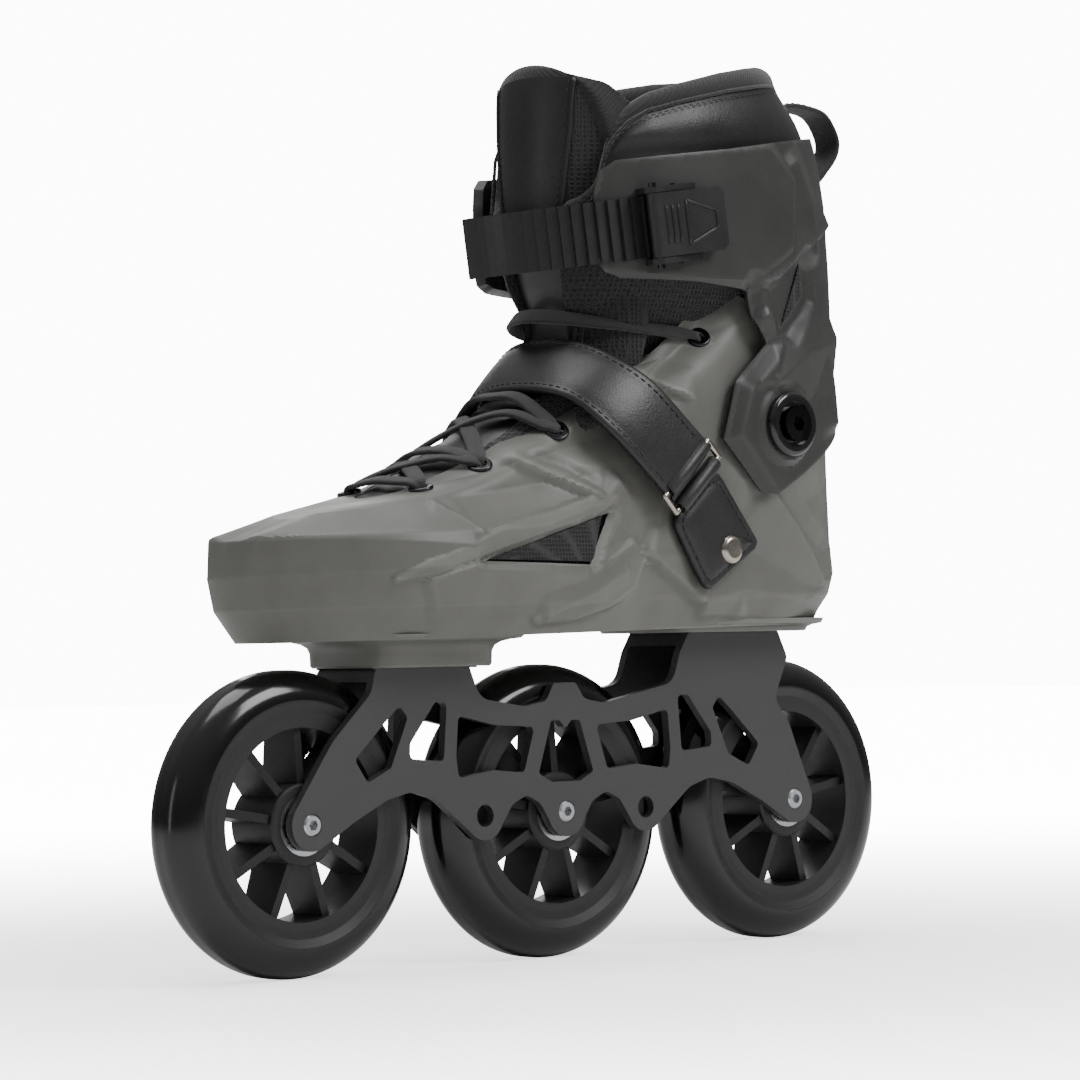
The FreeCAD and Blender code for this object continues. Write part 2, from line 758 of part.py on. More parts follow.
THROAT = [(84, 0), (80, 9), (70, 13), (45, 17), (14, 21), (-15, 25), (-30, 29), (-70, 33), (-100, 33)]
SHELL_TOP = [(-62, 255), (-76, 250), (-104, 228), (-160, 222), (-160, 330), (60, 330), (60, 255)]
EYELETS = [(72, 20.5), (47, 24.5), (14, 30), (-57, 33)]
EYELET_SINK = 0.35
VENT = [(66, 147.8), (1, 165), (7, 147.2)]
FRONT_BLOCK = (38.5, 93, 25)
REAR_BLOCK = (-128, -52, 25)
NUT_LEVELS = {"front_bolt_x": 120.5, "rear_bolt_x": 124}
NUT_RADIUS = 8.7
SHELL_BOSS_FACE = 42.5
SHELL_BOSS_RADIUS = 11.5
PIVOT_FLANGE_FACE = 38.6
PIVOT = Vector(dim("pivot_x"), 0, dim("pivot_height"))
RIVET_RADIUS = 2
SHELL_RIVET = Vector(-60, 0, 152)
INNER_RIVET = Vector(-41.5, 0, 173.5)

FOOT_SKIN = foot_solid(0)
FOOT_INSIDE = foot_solid(dim("shell_thickness"), dim("sole_thickness"))


def throat_prism(extra):
    """The opening over the instep, widened by extra on each side."""
    right = [(x + (extra if y == 0 else 0), y + (extra if y else 0)) for x, y in THROAT]
    left = [(x, -y) for x, y in reversed(right) if y]
    return plan_prism(right + left, 152, 340)


def sole_block(block, bottom, top):
    """A mounting block under the sole, round at its upright corners."""
    x0, x1, half = block
    box = Part.makeBox(x1 - x0, 2 * half, top - bottom, Vector(x0, -half, bottom))
    upright = [e for e in box.Edges if abs(e.tangentAt(e.FirstParameter).z) > 0.9]
    return box.makeFillet(9, upright)


def eyelet_frames():
    """Centre and outward normal of every eyelet, in pairs from the toe up."""
    frames = []
    for x, y in EYELETS:
        for side in (1, -1):
            spots = []
            for dx, dy in ((0, 0), (1.5, 0), (0, 1.5)):
                foot = Vector(x + dx, side * y + dy, 140)
                spots.append(max(line_hits(FOOT_SKIN, foot, foot + Z_AXIS * 150), key=lambda p: p.z))
            normal = (spots[1] - spots[0]).cross(spots[2] - spots[0])
            normal.normalize()
            frames.append((spots[0], normal))
    return frames


EYELET_FRAMES = eyelet_frames()


def shell_shape():
    shape = FOOT_SKIN
    for block, deck in ((FRONT_BLOCK, "front_deck_top"), (REAR_BLOCK, "rear_deck_top")):
        shape = shape.fuse(sole_block(block, dim(deck), 126))
    boss = rod(PIVOT + Y_AXIS * 30, PIVOT + Y_AXIS * SHELL_BOSS_FACE, SHELL_BOSS_RADIUS)
    shape = shape.fuse(both_sides(boss))
    shape = shape.cut(FOOT_INSIDE).cut(throat_prism(0)).cut(side_prism(SHELL_TOP, -80, 80))
    shape = shape.cut(both_sides(side_prism(VENT, 20, 80)))
    for point, normal in EYELET_FRAMES:
        shape = shape.cut(rod(point - normal * 9, point + normal * 5, dim("eyelet_hole_radius") + 0.75))
        shape = shape.cut(rod(point - normal * EYELET_SINK, point + normal * 5, dim("eyelet_radius") + 0.1))
    for bolt, level in NUT_LEVELS.items():
        foot = Vector(dim(bolt), 0, 100)
        shape = shape.cut(rod(foot, foot + Z_AXIS * 40, dim("bolt_radius") + 0.3))
        seat = Vector(dim(bolt), 0, level)
        shape = shape.cut(rod(seat, seat + Z_AXIS * 12, NUT_RADIUS + 0.2))
    shape = shape.cut(rod(PIVOT - Y_AXIS * 70, PIVOT + Y_AXIS * 70, dim("pivot_radius") + 0.02))
    recess = rod(PIVOT + Y_AXIS * 25, PIVOT + Y_AXIS * PIVOT_FLANGE_FACE, 8.2)
    shape = shape.cut(both_sides(recess))
    shape = shape.cut(rod(SHELL_RIVET, SHELL_RIVET + Y_AXIS * 70, RIVET_RADIUS + 0.02))
    return shape.cut(rod(INNER_RIVET - Y_AXIS * 70, INNER_RIVET, RIVET_RADIUS + 0.02))


solid_feature("shell", shell_shape())


def make_eyelets():
    """Rolled metal eyelets: a flange on the shell and a tube down through it."""
    hole = dim("eyelet_hole_radius")
    rings = []
    for point, normal in EYELET_FRAMES:
        flange = rod(point - normal * (EYELET_SINK - 0.05), point + normal * 1.15, dim("eyelet_radius"))
        rim = [e for e in flange.Edges if e.Length > 20]
        top = max(rim, key=lambda e: e.BoundBox.Center.dot(normal))
        tube = rod(point - normal * 2.6, point + normal * 0.5, hole + 0.7)
        ring = flange.makeFillet(0.7, [top]).fuse(tube)
        rings.append(ring.cut(rod(point - normal * 5, point + normal * 5, hole)))
    solid_feature("eyelets", Part.makeCompound(rings))


def make_vent_meshes():
    """Perforated screens set in the shell's side windows."""
    layer = foot_solid(1.6).cut(foot_solid(2.8))
    shrunk = [(62.5, 148.3), (2.1, 164.2), (7.5, 147.6)]
    screen = layer.common(side_prism(shrunk, 20, 80))
    solid_feature("vent_meshes", Part.makeCompound([screen, layer.common(side_prism(shrunk, -80, -20))]))


make_eyelets()
make_vent_meshes()


# ---------------------------------------------------------------- mounting hardware


def make_mounting():
    """Bolts up through the decks, with washers, into flanged nuts in the sole."""
    bolts, washers, nuts = [], [], []
    for bolt, level in NUT_LEVELS.items():
        deck = dim("front_deck_top" if dim(bolt) > 0 else "rear_deck_top")
        seat = deck - dim("deck_thickness")
        at = Vector(dim(bolt), 0, 0)
        head = rod(at + Z_AXIS * (seat - 6.5), at + Z_AXIS * (seat - 1.5), dim("bolt_head_radius"))
        shank = rod(at + Z_AXIS * (seat - 3), at + Z_AXIS * (level + 2.5), dim("bolt_radius"))
        turns = [math.radians(degrees) for degrees in range(0, 361, 60)]
        key = [Vector(3.2 * math.cos(a), 3.2 * math.sin(a), 0) for a in turns]
        socket = Part.Face(Part.makePolygon(key)).extrude(Vector(0, 0, 3.5))
        socket.translate(at + Z_AXIS * (seat - 7))
        bolts.append(head.fuse(shank).cut(socket))
        ring = rod(at + Z_AXIS * (seat - 1.5), at + Z_AXIS * seat, 8.5)
        washers.append(ring.cut(rod(at + Z_AXIS * 90, at + Z_AXIS * 130, dim("bolt_radius") + 0.1)))
        flange = rod(at + Z_AXIS * level, at + Z_AXIS * (level + 2.5), NUT_RADIUS)
        nuts.append(flange.cut(rod(at + Z_AXIS * 90, at + Z_AXIS * 140, dim("bolt_radius") + 0.02)))
    solid_feature("mounting_bolts", Part.makeCompound(bolts))
    solid_feature("mounting_washers", Part.makeCompound(washers))
    solid_feature("mounting_nuts", Part.makeCompound(nuts))


make_mounting()


# ---------------------------------------------------------------- cuff and its pivots

CUFF_OUTLINE = [
    (-86, 173.5),
    (-79, 173.8),
    (-59, 194),
    (-66, 216),
    (-81, 231),
    (-74, 240),
    (-72, 250),
    (-41, 252.6),
    (-10, 253.6),
    (-4, 257.5),
    (-3, 293.5),
    (-10, 297),
    (-58, 303.3),
    (-92, 309),
    (-118, 313),
    (-128, 301),
    (-160, 296),
    (-160, 203),
    (-146, 203),
]
CUFF_WINDOW = [(-103.6, 263.6), (-106.5, 251.5), (-90.3, 237.6)]
CUFF_BOSS_FACE = 48.4
CAP_FACE = CUFF_BOSS_FACE + 0.1
CUFF_TRAVEL = (-3, 0, 3.5, 7, 10)
CUFF_CLEARANCE = 0.25


def cuff_shape():
    wall = dim("cuff_thickness")
    shape = leg_solid(0, 166, 330).cut(leg_solid(wall, 160, 335))
    shape = shape.common(side_prism(CUFF_OUTLINE, -80, 80))
    boss = rod(PIVOT + Y_AXIS * (SHELL_BOSS_FACE + 0.1), PIVOT + Y_AXIS * CUFF_BOSS_FACE, 15)
    shape = shape.fuse(both_sides(boss))
    shape = shape.cut(both_sides(side_prism(CUFF_WINDOW, 20, 80)))
    for angle in CUFF_TRAVEL:
        heel = foot_solid(-CUFF_CLEARANCE).common(Part.makeBox(100, 100, 100, Vector(-160, -50, 166)))
        heel.rotate(PIVOT, Y_AXIS, -angle)
        shape = shape.cut(heel)
    shell_boss = rod(PIVOT + Y_AXIS * 30, PIVOT + Y_AXIS * (SHELL_BOSS_FACE + 0.1), SHELL_BOSS_RADIUS + 0.3)
    shape = shape.cut(both_sides(shell_boss))
    hole = rod(PIVOT - Y_AXIS * 70, PIVOT + Y_AXIS * 70, dim("pivot_radius") + dim("pivot_gap"))
    return shape.cut(hole)


def make_cuff():
    shape = cuff_shape()
    for centre, axis in BUCKLE_RIVETS + [LADDER_SCREW]:
        shape = shape.cut(rod(centre - axis * 12, centre + axis * 12, RIVET_RADIUS + 0.02))
    solid_feature("cuff", shape)
    layer = leg_solid(1.8, 230, 270).cut(leg_solid(3.0, 225, 275))
    shrunk = [(-103.4, 262.2), (-106, 251.9), (-91.2, 239.2)]
    screens = [layer.common(side_prism(shrunk, 20, 80)), layer.common(side_prism(shrunk, -80, -20))]
    solid_feature("cuff_vent_meshes", Part.makeCompound(screens))


def make_pivots():
    """On each side: a flanged sleeve from inside, a screw into it and the cap that the screw holds."""
    nuts, bolts, caps = [], [], []
    sleeve_end = CAP_FACE
    for side in (1, -1):
        out = Y_AXIS * side
        flange = rod(PIVOT + out * (PIVOT_FLANGE_FACE - 1.4), PIVOT + out * PIVOT_FLANGE_FACE, 8)
        sleeve = rod(PIVOT + out * PIVOT_FLANGE_FACE, PIVOT + out * sleeve_end, dim("pivot_radius"))
        thread = rod(PIVOT + out * 20, PIVOT + out * 70, 3.02)
        nuts.append(flange.fuse(sleeve).cut(thread))
        cap = rod(PIVOT + out * CAP_FACE, PIVOT + out * (CAP_FACE + 3), dim("pivot_cap_radius"))
        outer_rim = max(cap.Edges, key=lambda e: e.BoundBox.Center.dot(out))
        cap = cap.makeFillet(2, [outer_rim])
        cap = cap.cut(rod(PIVOT + out * (CAP_FACE + 1.6), PIVOT + out * (CAP_FACE + 9), 8.6))
        caps.append(cap.cut(thread))
        head = rod(PIVOT + out * (CAP_FACE + 1.6), PIVOT + out * (CAP_FACE + 4.8), 7)
        shank = rod(PIVOT + out * 39, PIVOT + out * (CAP_FACE + 2), 3)
        turns = [math.radians(degrees) for degrees in range(0, 361, 60)]
        key = [Vector(3 * math.cos(a), 0, 3 * math.sin(a)) for a in turns]
        socket = Part.Face(Part.makePolygon(key)).extrude(out * 3)
        socket.translate(PIVOT + out * (CAP_FACE + 2))
        bolts.append(head.fuse(shank).cut(socket))
    solid_feature("pivot_nuts", Part.makeCompound(nuts))
    solid_feature("pivot_bolts", Part.makeCompound(bolts))
    solid_feature("pivot_caps", Part.makeCompound(caps))


# ---------------------------------------------------------------- ladder strap and buckle

# The strap is laid out flat round the cuff at strap_level, then tilted down to the toe about this point.
TILT_ORIGIN = Vector(-40, 0, dim("strap_level"))
TILT = Placement(TILT_ORIGIN, Rotation(Y_AXIS, dim("strap_tilt")))
STRAP_ENDS = (-0.44, 0.44)  # half turns round the cuff from its front
STRAP_CLEAR = 2.4
STRAP_BAND = 1.6
TOOTH_HEIGHT = 1.3
PLAIN_STEPS = 4


def strap_point(turn, inset):
    """A point of the strap's flat path; turn is in half turns from the front of the cuff."""
    point = oval_point(math.pi * turn, dim("strap_level"), inset)
    return Vector(point.x - TILT_ORIGIN.x, point.y, 0)


def strap_frame(turn, lift=0.0):
    """A placement on the strap's path: Z across the strap, Y out from the boot, X along the strap."""
    before, after = strap_point(turn - 0.002, 0), strap_point(turn + 0.002, 0)
    along = after - before
    angle = math.degrees(math.atan2(-along.y, -along.x))
    out = Vector(along.y, -along.x, 0)
    out.normalize()
    return TILT.multiply(Placement(strap_point(turn, 0) + out * lift, Rotation(Z_AXIS, angle)))


def evenly_spaced(points, pitch):
    """Some of the points of a fine polyline, a pitch apart."""
    kept = [points[0]]
    travelled = 0.0
    for a, b in zip(points, points[1:]):
        travelled += (b - a).Length
        if travelled >= pitch:
            kept.append(b)
            travelled = 0.0
    return kept


def make_ladder_strap():
    """A moulded strap with saw teeth across its outside and a plain end that is screwed down."""
    start, end = STRAP_ENDS
    fine = [strap_point(start + (end - start) * i / 2000, -STRAP_CLEAR) for i in range(2001)]
    spine = evenly_spaced(fine, dim("tooth_pitch"))
    outer, inner = [], []
    for i, point in enumerate(spine):
        before, after = spine[max(i - 1, 0)], spine[min(i + 1, len(spine) - 1)]
        along = after - before
        along.normalize()
        out = Vector(along.y, -along.x, 0)
        plain = i < PLAIN_STEPS
        inner.append(point - out * (STRAP_CLEAR - 0.2) if plain else point)
        outer.append(point + out * STRAP_BAND)
        if not plain and i < len(spine) - 1:
            outer.append(point + out * (STRAP_BAND + TOOTH_HEIGHT) + along * 0.6)
    ring = outer + list(reversed(inner))
    height = dim("strap_height")
    shape = Part.Face(Part.makePolygon(ring + ring[:1])).extrude(Z_AXIS * height)
    shape.translate(Vector(0, 0, -height / 2))
    shape.Placement = TILT.multiply(shape.Placement)
    screw, out = LADDER_SCREW
    solid_feature("ladder_strap", shape.cut(rod(screw - out * 9, screw + out * 12, RIVET_RADIUS + 0.02)))


def local_box(x0, x1, y0, y1, z0, z1):
    return Part.makeBox(x1 - x0, y1 - y0, z1 - z0, Vector(x0, y0, z0))


def local_rod(x, y, z0, z1, radius):
    return Part.makeCylinder(radius, z1 - z0, Vector(x, y, z0))


def placed(shape, frame):
    shape = shape.copy()
    shape.Placement = frame.multiply(shape.Placement)
    return shape


BUCKLE = strap_frame(0.367)
BUCKLE_OUT = BUCKLE.Rotation.multVec(Y_AXIS)
LADDER_FRAME = strap_frame(-0.405)
LADDER_SCREW = (LADDER_FRAME.Base, LADDER_FRAME.Rotation.multVec(Y_AXIS))
BUCKLE_RIVETS = [(BUCKLE.multVec(Vector(u, 0, 0)), BUCKLE_OUT) for u in (-4, 5)]
CHEEK_INNER, CHEEK_OUTER = 12.2, 14.4
LEVER_PIN = (10.5, 8.3, 1.4)  # along, out, radius
PAWL_PIN = (1, 7, 0.9)


def make_buckle():
    """Base with two cheeks, a pull lever, the pawl that holds the teeth, their pins and springs."""
    base = local_box(-16, 14, 0.4, 1.3, -CHEEK_OUTER, CHEEK_OUTER)
    side_view = [(-13, 1.2), (14, 1.2), (14, 8.5), (10.5, 11.2), (6, 10.8), (-2, 8.6), (-8, 5)]
    for low in (-CHEEK_OUTER, CHEEK_INNER):
        wire = Part.makePolygon([Vector(x, y, low) for x, y in side_view + side_view[:1]])
        base = base.fuse(Part.Face(wire).extrude(Vector(0, 0, CHEEK_OUTER - CHEEK_INNER)))
    for x, y, radius in (LEVER_PIN, PAWL_PIN):
        base = base.cut(local_rod(x, y, -20, 20, radius + 0.01))
    for u in (-4, 5):
        hole = Part.makeCylinder(RIVET_RADIUS + 0.02, 6, Vector(u, -1, 0), Y_AXIS)
        base = base.cut(hole)
    solid_feature("buckle_base", placed(base, BUCKLE))

    half = CHEEK_INNER - 0.25
    x, y, radius = LEVER_PIN
    side = [(-20, 6.2), (-20.6, 7), (-19, 8), (-4, 10.9), (x, y + 2.8), (x, y), (x - 2.8, 9), (-5, 8.8)]
    wire = Part.makePolygon([Vector(a, b, -half) for a, b in side + side[:1]])
    lever = Part.Face(wire).extrude(Vector(0, 0, 2 * half)).fuse(local_rod(x, y, -half, half, 2.8))
    lever = lever.cut(local_rod(x, y, -20, 20, radius + 0.06))
    for sign in (-1, 1):
        corner = [(-22, sign * 13), (-22, sign * 8.6), (-16.4, sign * 13)]
        wedge = Part.Face(Part.makePolygon([Vector(a, 4, b) for a, b in corner + corner[:1]]))
        lever = lever.cut(wedge.extrude(Vector(0, 8, 0)))
    solid_feature("buckle_lever", placed(lever, BUCKLE))

    x, y, radius = PAWL_PIN
    pawl = local_rod(x, y, -8.5, 8.5, 1.55)
    tip = [(x - 0.5, y - 1.5), (x - 6.2, y - 1.3), (x - 5.8, y - 0.2), (x - 0.5, y + 1.2)]
    wire = Part.makePolygon([Vector(a, b, -8.5) for a, b in tip + tip[:1]])
    pawl = pawl.fuse(Part.Face(wire).extrude(Vector(0, 0, 17)))
    pawl = pawl.cut(local_rod(x, y, -20, 20, radius + 0.06))
    solid_feature("lock_pawl", placed(pawl, BUCKLE))

    pins = [local_rod(x, y, -16, 16, r) for x, y, r in (LEVER_PIN,)]
    pins += [local_rod(x, y, -15, 15, r) for x, y, r in (PAWL_PIN,)]
    solid_feature("buckle_pins", Part.makeCompound([placed(pin, BUCKLE) for pin in pins]))

    springs = []
    for start in (-11.8, 9.1):
        coil = Part.makeHelix(0.8, 2.4, 1.25)
        section = Part.Wire(Part.makeCircle(0.25, Vector(1.25, 0, 0), Y_AXIS))
        spring = Part.Wire(coil.Edges).makePipeShell([section], True, True)
        spring.translate(Vector(x, y, start + 0.2))
        springs.append(placed(spring, BUCKLE))
    solid_feature("pawl_springs", Part.makeCompound(springs))

    rivets = []
    for centre, out in BUCKLE_RIVETS:
        head = rod(centre + out * 1.35, centre + out * 1.9, 3.2)
        rivets.append(head.fuse(rod(centre - out * 4.2, centre + out * 1.6, RIVET_RADIUS)))
    solid_feature("buckle_rivets", Part.makeCompound(rivets))
    centre, out = LADDER_SCREW
    top = STRAP_CLEAR + STRAP_BAND + 0.25
    screw = rod(centre + out * top, centre + out * (top + 1.8), 4.6)
    screw = screw.fuse(rod(centre - out * 4.2, centre + out * (top + 0.2), RIVET_RADIUS))
    slot = Part.makeBox(12, 2, 1.2, Vector(-6, top + 0.9, -0.6))
    solid_feature("ladder_screw", screw.cut(placed(slot, LADDER_FRAME)))


make_ladder_strap()
make_buckle()
make_cuff()
make_pivots()


# ---------------------------------------------------------------- instep strap, ring and tab

# y, then the upper and the lower edge of the strap (x, z each)
STRAP_STATIONS = [
    (46.8, (-45.5, 192.2), (-24.8, 170.6)),
    (46, (-39, 198), (-15, 180)),
    (42, (-23, 214), (0, 195)),
    (33, (-12, 223.5), (9, 206)),
    (20, (-8.5, 229), (12.5, 210)),
    (0, (-8, 231), (13, 211)),
    (-16, (-8.5, 229.5), (11, 209)),
    (-30, (-13, 221.5), (6, 203)),
    (-40, (-23, 210), (-4, 190)),
    (-45, (-37, 197), (-17, 177)),
    (-46, (-50, 184), (-32, 162)),
]
STRAP_THICKNESS = 3
TAB_OUTLINE = [(-30.5, 163), (-53.5, 183.2), (-75.6, 155), (-73.9, 152), (-48.5, 135.7), (-43.3, 142.6)]
TAB_FACES = (42.2, 44.8)
RING_UPPER = (Vector(-51, 48.6, 186.8), Vector(-28.5, 48.6, 165.6))
RING_STEP = Vector(5.6, 0, 5.9)


def make_instep_strap():
    """The wide strap over the instep, riveted on the inner side and buckled to the ring on the outer."""
    points = []
    for y, upper, lower in STRAP_STATIONS:
        points.append((Vector(upper[0], y, upper[1]), Vector(lower[0], y, lower[1])))
    wires = []
    for i, (upper, lower) in enumerate(points):
        before, after = points[max(i - 1, 0)], points[min(i + 1, len(points) - 1)]
        along = (after[0] + after[1]) - (before[0] + before[1])
        out = (lower - upper).cross(along)
        out.normalize()
        corners = [upper, lower, lower + out * STRAP_THICKNESS, upper + out * STRAP_THICKNESS]
        wires.append(Part.makePolygon(corners + corners[:1]))
    strap = Part.makeLoft(wires, True, True).cut(FOOT_SKIN)
    rivet_hole = rod(INNER_RIVET - Y_AXIS * 70, INNER_RIVET, RIVET_RADIUS + 0.02)
    solid_feature("instep_strap", strap.cut(rivet_hole))


def make_ring_and_tab():
    """The wire ring, the stitched tab that holds it on the shell, and the rivets."""
    high, low = RING_UPPER
    corners = [high, low, low + RING_STEP, high + RING_STEP]
    wire = dim("ring_wire_radius")
    bars = [rod(a, b, wire) for a, b in zip(corners, corners[1:] + corners[:1])]
    ring = bars[0]
    for bar in bars[1:]:
        ring = ring.fuse(bar)
    for corner in corners:
        ring = ring.fuse(Part.makeSphere(wire, corner))
    solid_feature("strap_ring", ring)
    tab = side_prism(TAB_OUTLINE, *TAB_FACES)
    hole = rod(SHELL_RIVET, SHELL_RIVET + Y_AXIS * 60, RIVET_RADIUS + 0.02)
    solid_feature("strap_tab", tab.cut(hole))
    rivets = []
    outside = SHELL_RIVET + Y_AXIS * (TAB_FACES[1] + 0.05)
    dome = rod(outside, outside + Y_AXIS * 2.6, 5.6)
    rim = max(dome.Edges, key=lambda e: e.BoundBox.Center.y)
    rivets.append(dome.makeFillet(2.3, [rim]).fuse(rod(SHELL_RIVET + Y_AXIS * 38.5, outside, RIVET_RADIUS)))
    inner_face = INNER_RIVET - Y_AXIS * 49.8
    dome = rod(inner_face, inner_face - Y_AXIS * 2.2, 5.2)
    rim = min(dome.Edges, key=lambda e: e.BoundBox.Center.y)
    shank = rod(INNER_RIVET - Y_AXIS * 38.5, inner_face, RIVET_RADIUS)
    rivets.append(dome.makeFillet(1.9, [rim]).fuse(shank))
    solid_feature("strap_rivets", Part.makeCompound(rivets))


make_instep_strap()
make_ring_and_tab()


# ---------------------------------------------------------------- soft inner boot, as plain solids

LINER_INSET = 3.8
LINER_FLOOR = dim("sole_thickness") + 0.6
LOWER_TOP = [(-160, 251), (-80, 251), (0, 235), (30, 226), (30, 400), (-160, 400)]
COLLAR_INSET = dim("cuff_thickness") + 0.8
COLLAR_BOTTOM = 262
COLLAR_OUTLINE = [
    (-160, COLLAR_BOTTOM),
    (-14, COLLAR_BOTTOM),
    (-14, 308),
    (-25, 320),
    (-46, 329),
    (-72, 336),
    (-120, 341),
    (-129, 334),
    (-160, 322),
]
TONGUE_TOP = [(-60, COLLAR_BOTTOM), (20, COLLAR_BOTTOM), (20, 332), (-14, 336), (-60, 338)]


def make_lower_liner():
    """The foot part of the inner boot, the insole in it and the lower part of the tongue."""
    inner = LINER_INSET + dim("liner_thickness")
    layer = foot_solid(LINER_INSET, LINER_FLOOR).cut(foot_solid(inner, LINER_FLOOR + 5.5))
    layer = layer.cut(side_prism(LOWER_TOP, -80, 80))
    liner = layer.cut(throat_prism(0.5))
    solid_feature("liner_foot", liner)
    tongue = layer.common(throat_prism(-1)).common(Part.makeBox(150, 80, 150, Vector(-50, -40, 140)))
    solid_feature("tongue_lower", max(tongue.Solids, key=lambda piece: piece.Volume))
    slab = [(150, 125), (-150, 125), (-150, 138.7), (150, 133.7)]
    insole = foot_solid(inner + 0.8, LINER_FLOOR + 5.6).common(side_prism(slab, -60, 60))
    solid_feature("insole", insole)


def make_upper_liner():
    """The padded collar and the upper part of the tongue, which move with the cuff."""
    thickness = dim("liner_thickness")
    layer = leg_solid(COLLAR_INSET, 255, 345).cut(leg_solid(COLLAR_INSET + thickness, 250, 350))
    front = Part.makeBox(60, 68, 120, Vector(-30, -34, 250))
    solid_feature("liner_collar", layer.common(side_prism(COLLAR_OUTLINE, -80, 80)).cut(front))
    layer = leg_solid(COLLAR_INSET + 3, 255, 345).cut(leg_solid(COLLAR_INSET + thickness + 3, 250, 350))
    front = Part.makeBox(60, 62, 120, Vector(-28, -31, 250))
    solid_feature("tongue_upper", layer.common(side_prism(TONGUE_TOP, -80, 80)).common(front))


def make_pull_loop():
    """The webbing loop at the back of the collar."""
    outside = [(-147.5, 331), (-158, 329.5), (-165.5, 319), (-164, 312), (-153, 300.5), (-147.8, 301.5)]
    inside = [(-149.6, 304.3), (-152.3, 303.2), (-162, 312.8), (-163, 318.2), (-156.9, 327), (-147.5, 328.6)]
    solid_feature("pull_loop", side_prism(outside + inside, -12, 12))


LACE_REACH = (0, 0, 1, 25)  # how far forward of its eyelets the middle of each lace runs
LACE_LIFT = 2.7
LACE_RISE = 3.8


def lace_path(a, out_a, b, out_b, reach):
    """Up out of one eyelet, over the instep just clear of it, and down into the other."""
    over = []
    for share, out in ((0.17, out_a), (0.34, Z_AXIS), (0.5, Z_AXIS), (0.66, Z_AXIS), (0.83, out_b)):
        x = a.x + (b.x - a.x) * share + reach * math.sin(math.pi * share)
        foot = Vector(x, a.y + (b.y - a.y) * share, 140)
        top = max(line_hits(FOOT_SKIN, foot, foot + Z_AXIS * 150), key=lambda p: p.z)
        over.append(top + out * (LACE_LIFT + dim("lace_radius")))
    rise = a + out_a * LACE_RISE + (over[0] - a).normalize() * 1.2
    fall = b + out_b * LACE_RISE + (over[-1] - b).normalize() * 1.2
    return [a - out_a * 1.4, a + out_a * 1.9, rise] + over + [fall, b + out_b * 1.9, b - out_b * 1.4]


def lace_bar(points):
    """A many-sided bar that runs smoothly through the points."""
    befores = [points[0] * 2 - points[1]] + points
    afters = points[1:] + [points[-1] * 2 - points[-2]]
    rings = []
    for before, point, after in zip(befores, points, afters):
        along = ((after - point).normalize() + (point - before).normalize()).normalize()
        side = (X_AXIS - along * along.x).normalize() * dim("lace_radius")
        up = along.cross(side)
        turns = [math.radians(30 * corner) for corner in range(12)]
        ring = [point + side * math.cos(turn) + up * math.sin(turn) for turn in turns]
        rings.append(Part.makePolygon(ring + ring[:1]))
    return Part.makeLoft(rings, True, False)


def make_laces():
    """One lace bar for each pair of eyelets."""
    bars = []
    for (a, out_a), (b, out_b), reach in zip(EYELET_FRAMES[::2], EYELET_FRAMES[1::2], LACE_REACH):
        bars.append(lace_bar(lace_path(a, out_a, b, out_b, reach)))
    solid_feature("laces", Part.makeCompound(bars))


make_lower_liner()
make_upper_liner()
make_pull_loop()
make_laces()


# ---------------------------------------------------------------- checks and export

NODE_TYPES = ("PartDesign::Body", "Part::Compound", "Part::Feature")
USER_TYPES = ("Part::Compound", "Part::Mirroring", "Part::Cut")


def check_and_export():
    doc.recompute()
    os.makedirs(OUT, exist_ok=True)
    for obj in doc.Objects:
        if "Invalid" in obj.State or "Error" in obj.State:
            raise RuntimeError(f"{obj.Label} did not compute")
    for obj in doc.Objects:
        used = [user for user in obj.InList if user.TypeId in USER_TYPES]
        if obj.TypeId not in NODE_TYPES or used:
            continue
        shape = obj.Shape
        if shape.isNull() or not shape.isValid() or not shape.Solids:
            raise RuntimeError(f"{obj.Label} is not a valid solid")
        shape.exportStep(f"{OUT}/{obj.Label}.step")


check_and_export()
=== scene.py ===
"""Looks for the inline skate: metres, +X to the toe, +Y to the outer side, +Z up."""

import math
import random

import bmesh
import bpy
import numpy as np
from mathutils import Matrix, Vector
from mathutils.bvhtree import BVHTree


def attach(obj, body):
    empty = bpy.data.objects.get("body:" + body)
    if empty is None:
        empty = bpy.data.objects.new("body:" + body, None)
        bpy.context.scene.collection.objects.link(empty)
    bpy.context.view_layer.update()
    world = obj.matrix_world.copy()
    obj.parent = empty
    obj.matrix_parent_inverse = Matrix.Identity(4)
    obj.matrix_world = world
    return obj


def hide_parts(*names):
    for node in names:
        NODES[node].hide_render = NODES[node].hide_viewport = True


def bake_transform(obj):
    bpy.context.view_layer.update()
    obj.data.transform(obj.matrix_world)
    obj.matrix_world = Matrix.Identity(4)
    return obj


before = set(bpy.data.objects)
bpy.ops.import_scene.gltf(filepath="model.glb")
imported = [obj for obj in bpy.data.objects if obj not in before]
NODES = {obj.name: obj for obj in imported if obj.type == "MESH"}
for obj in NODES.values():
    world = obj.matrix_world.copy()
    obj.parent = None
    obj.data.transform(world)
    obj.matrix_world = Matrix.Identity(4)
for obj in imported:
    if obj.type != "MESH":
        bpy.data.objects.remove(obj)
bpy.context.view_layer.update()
MM = 0.001
random.seed(7)


# ---------------------------------------------------------------- node materials


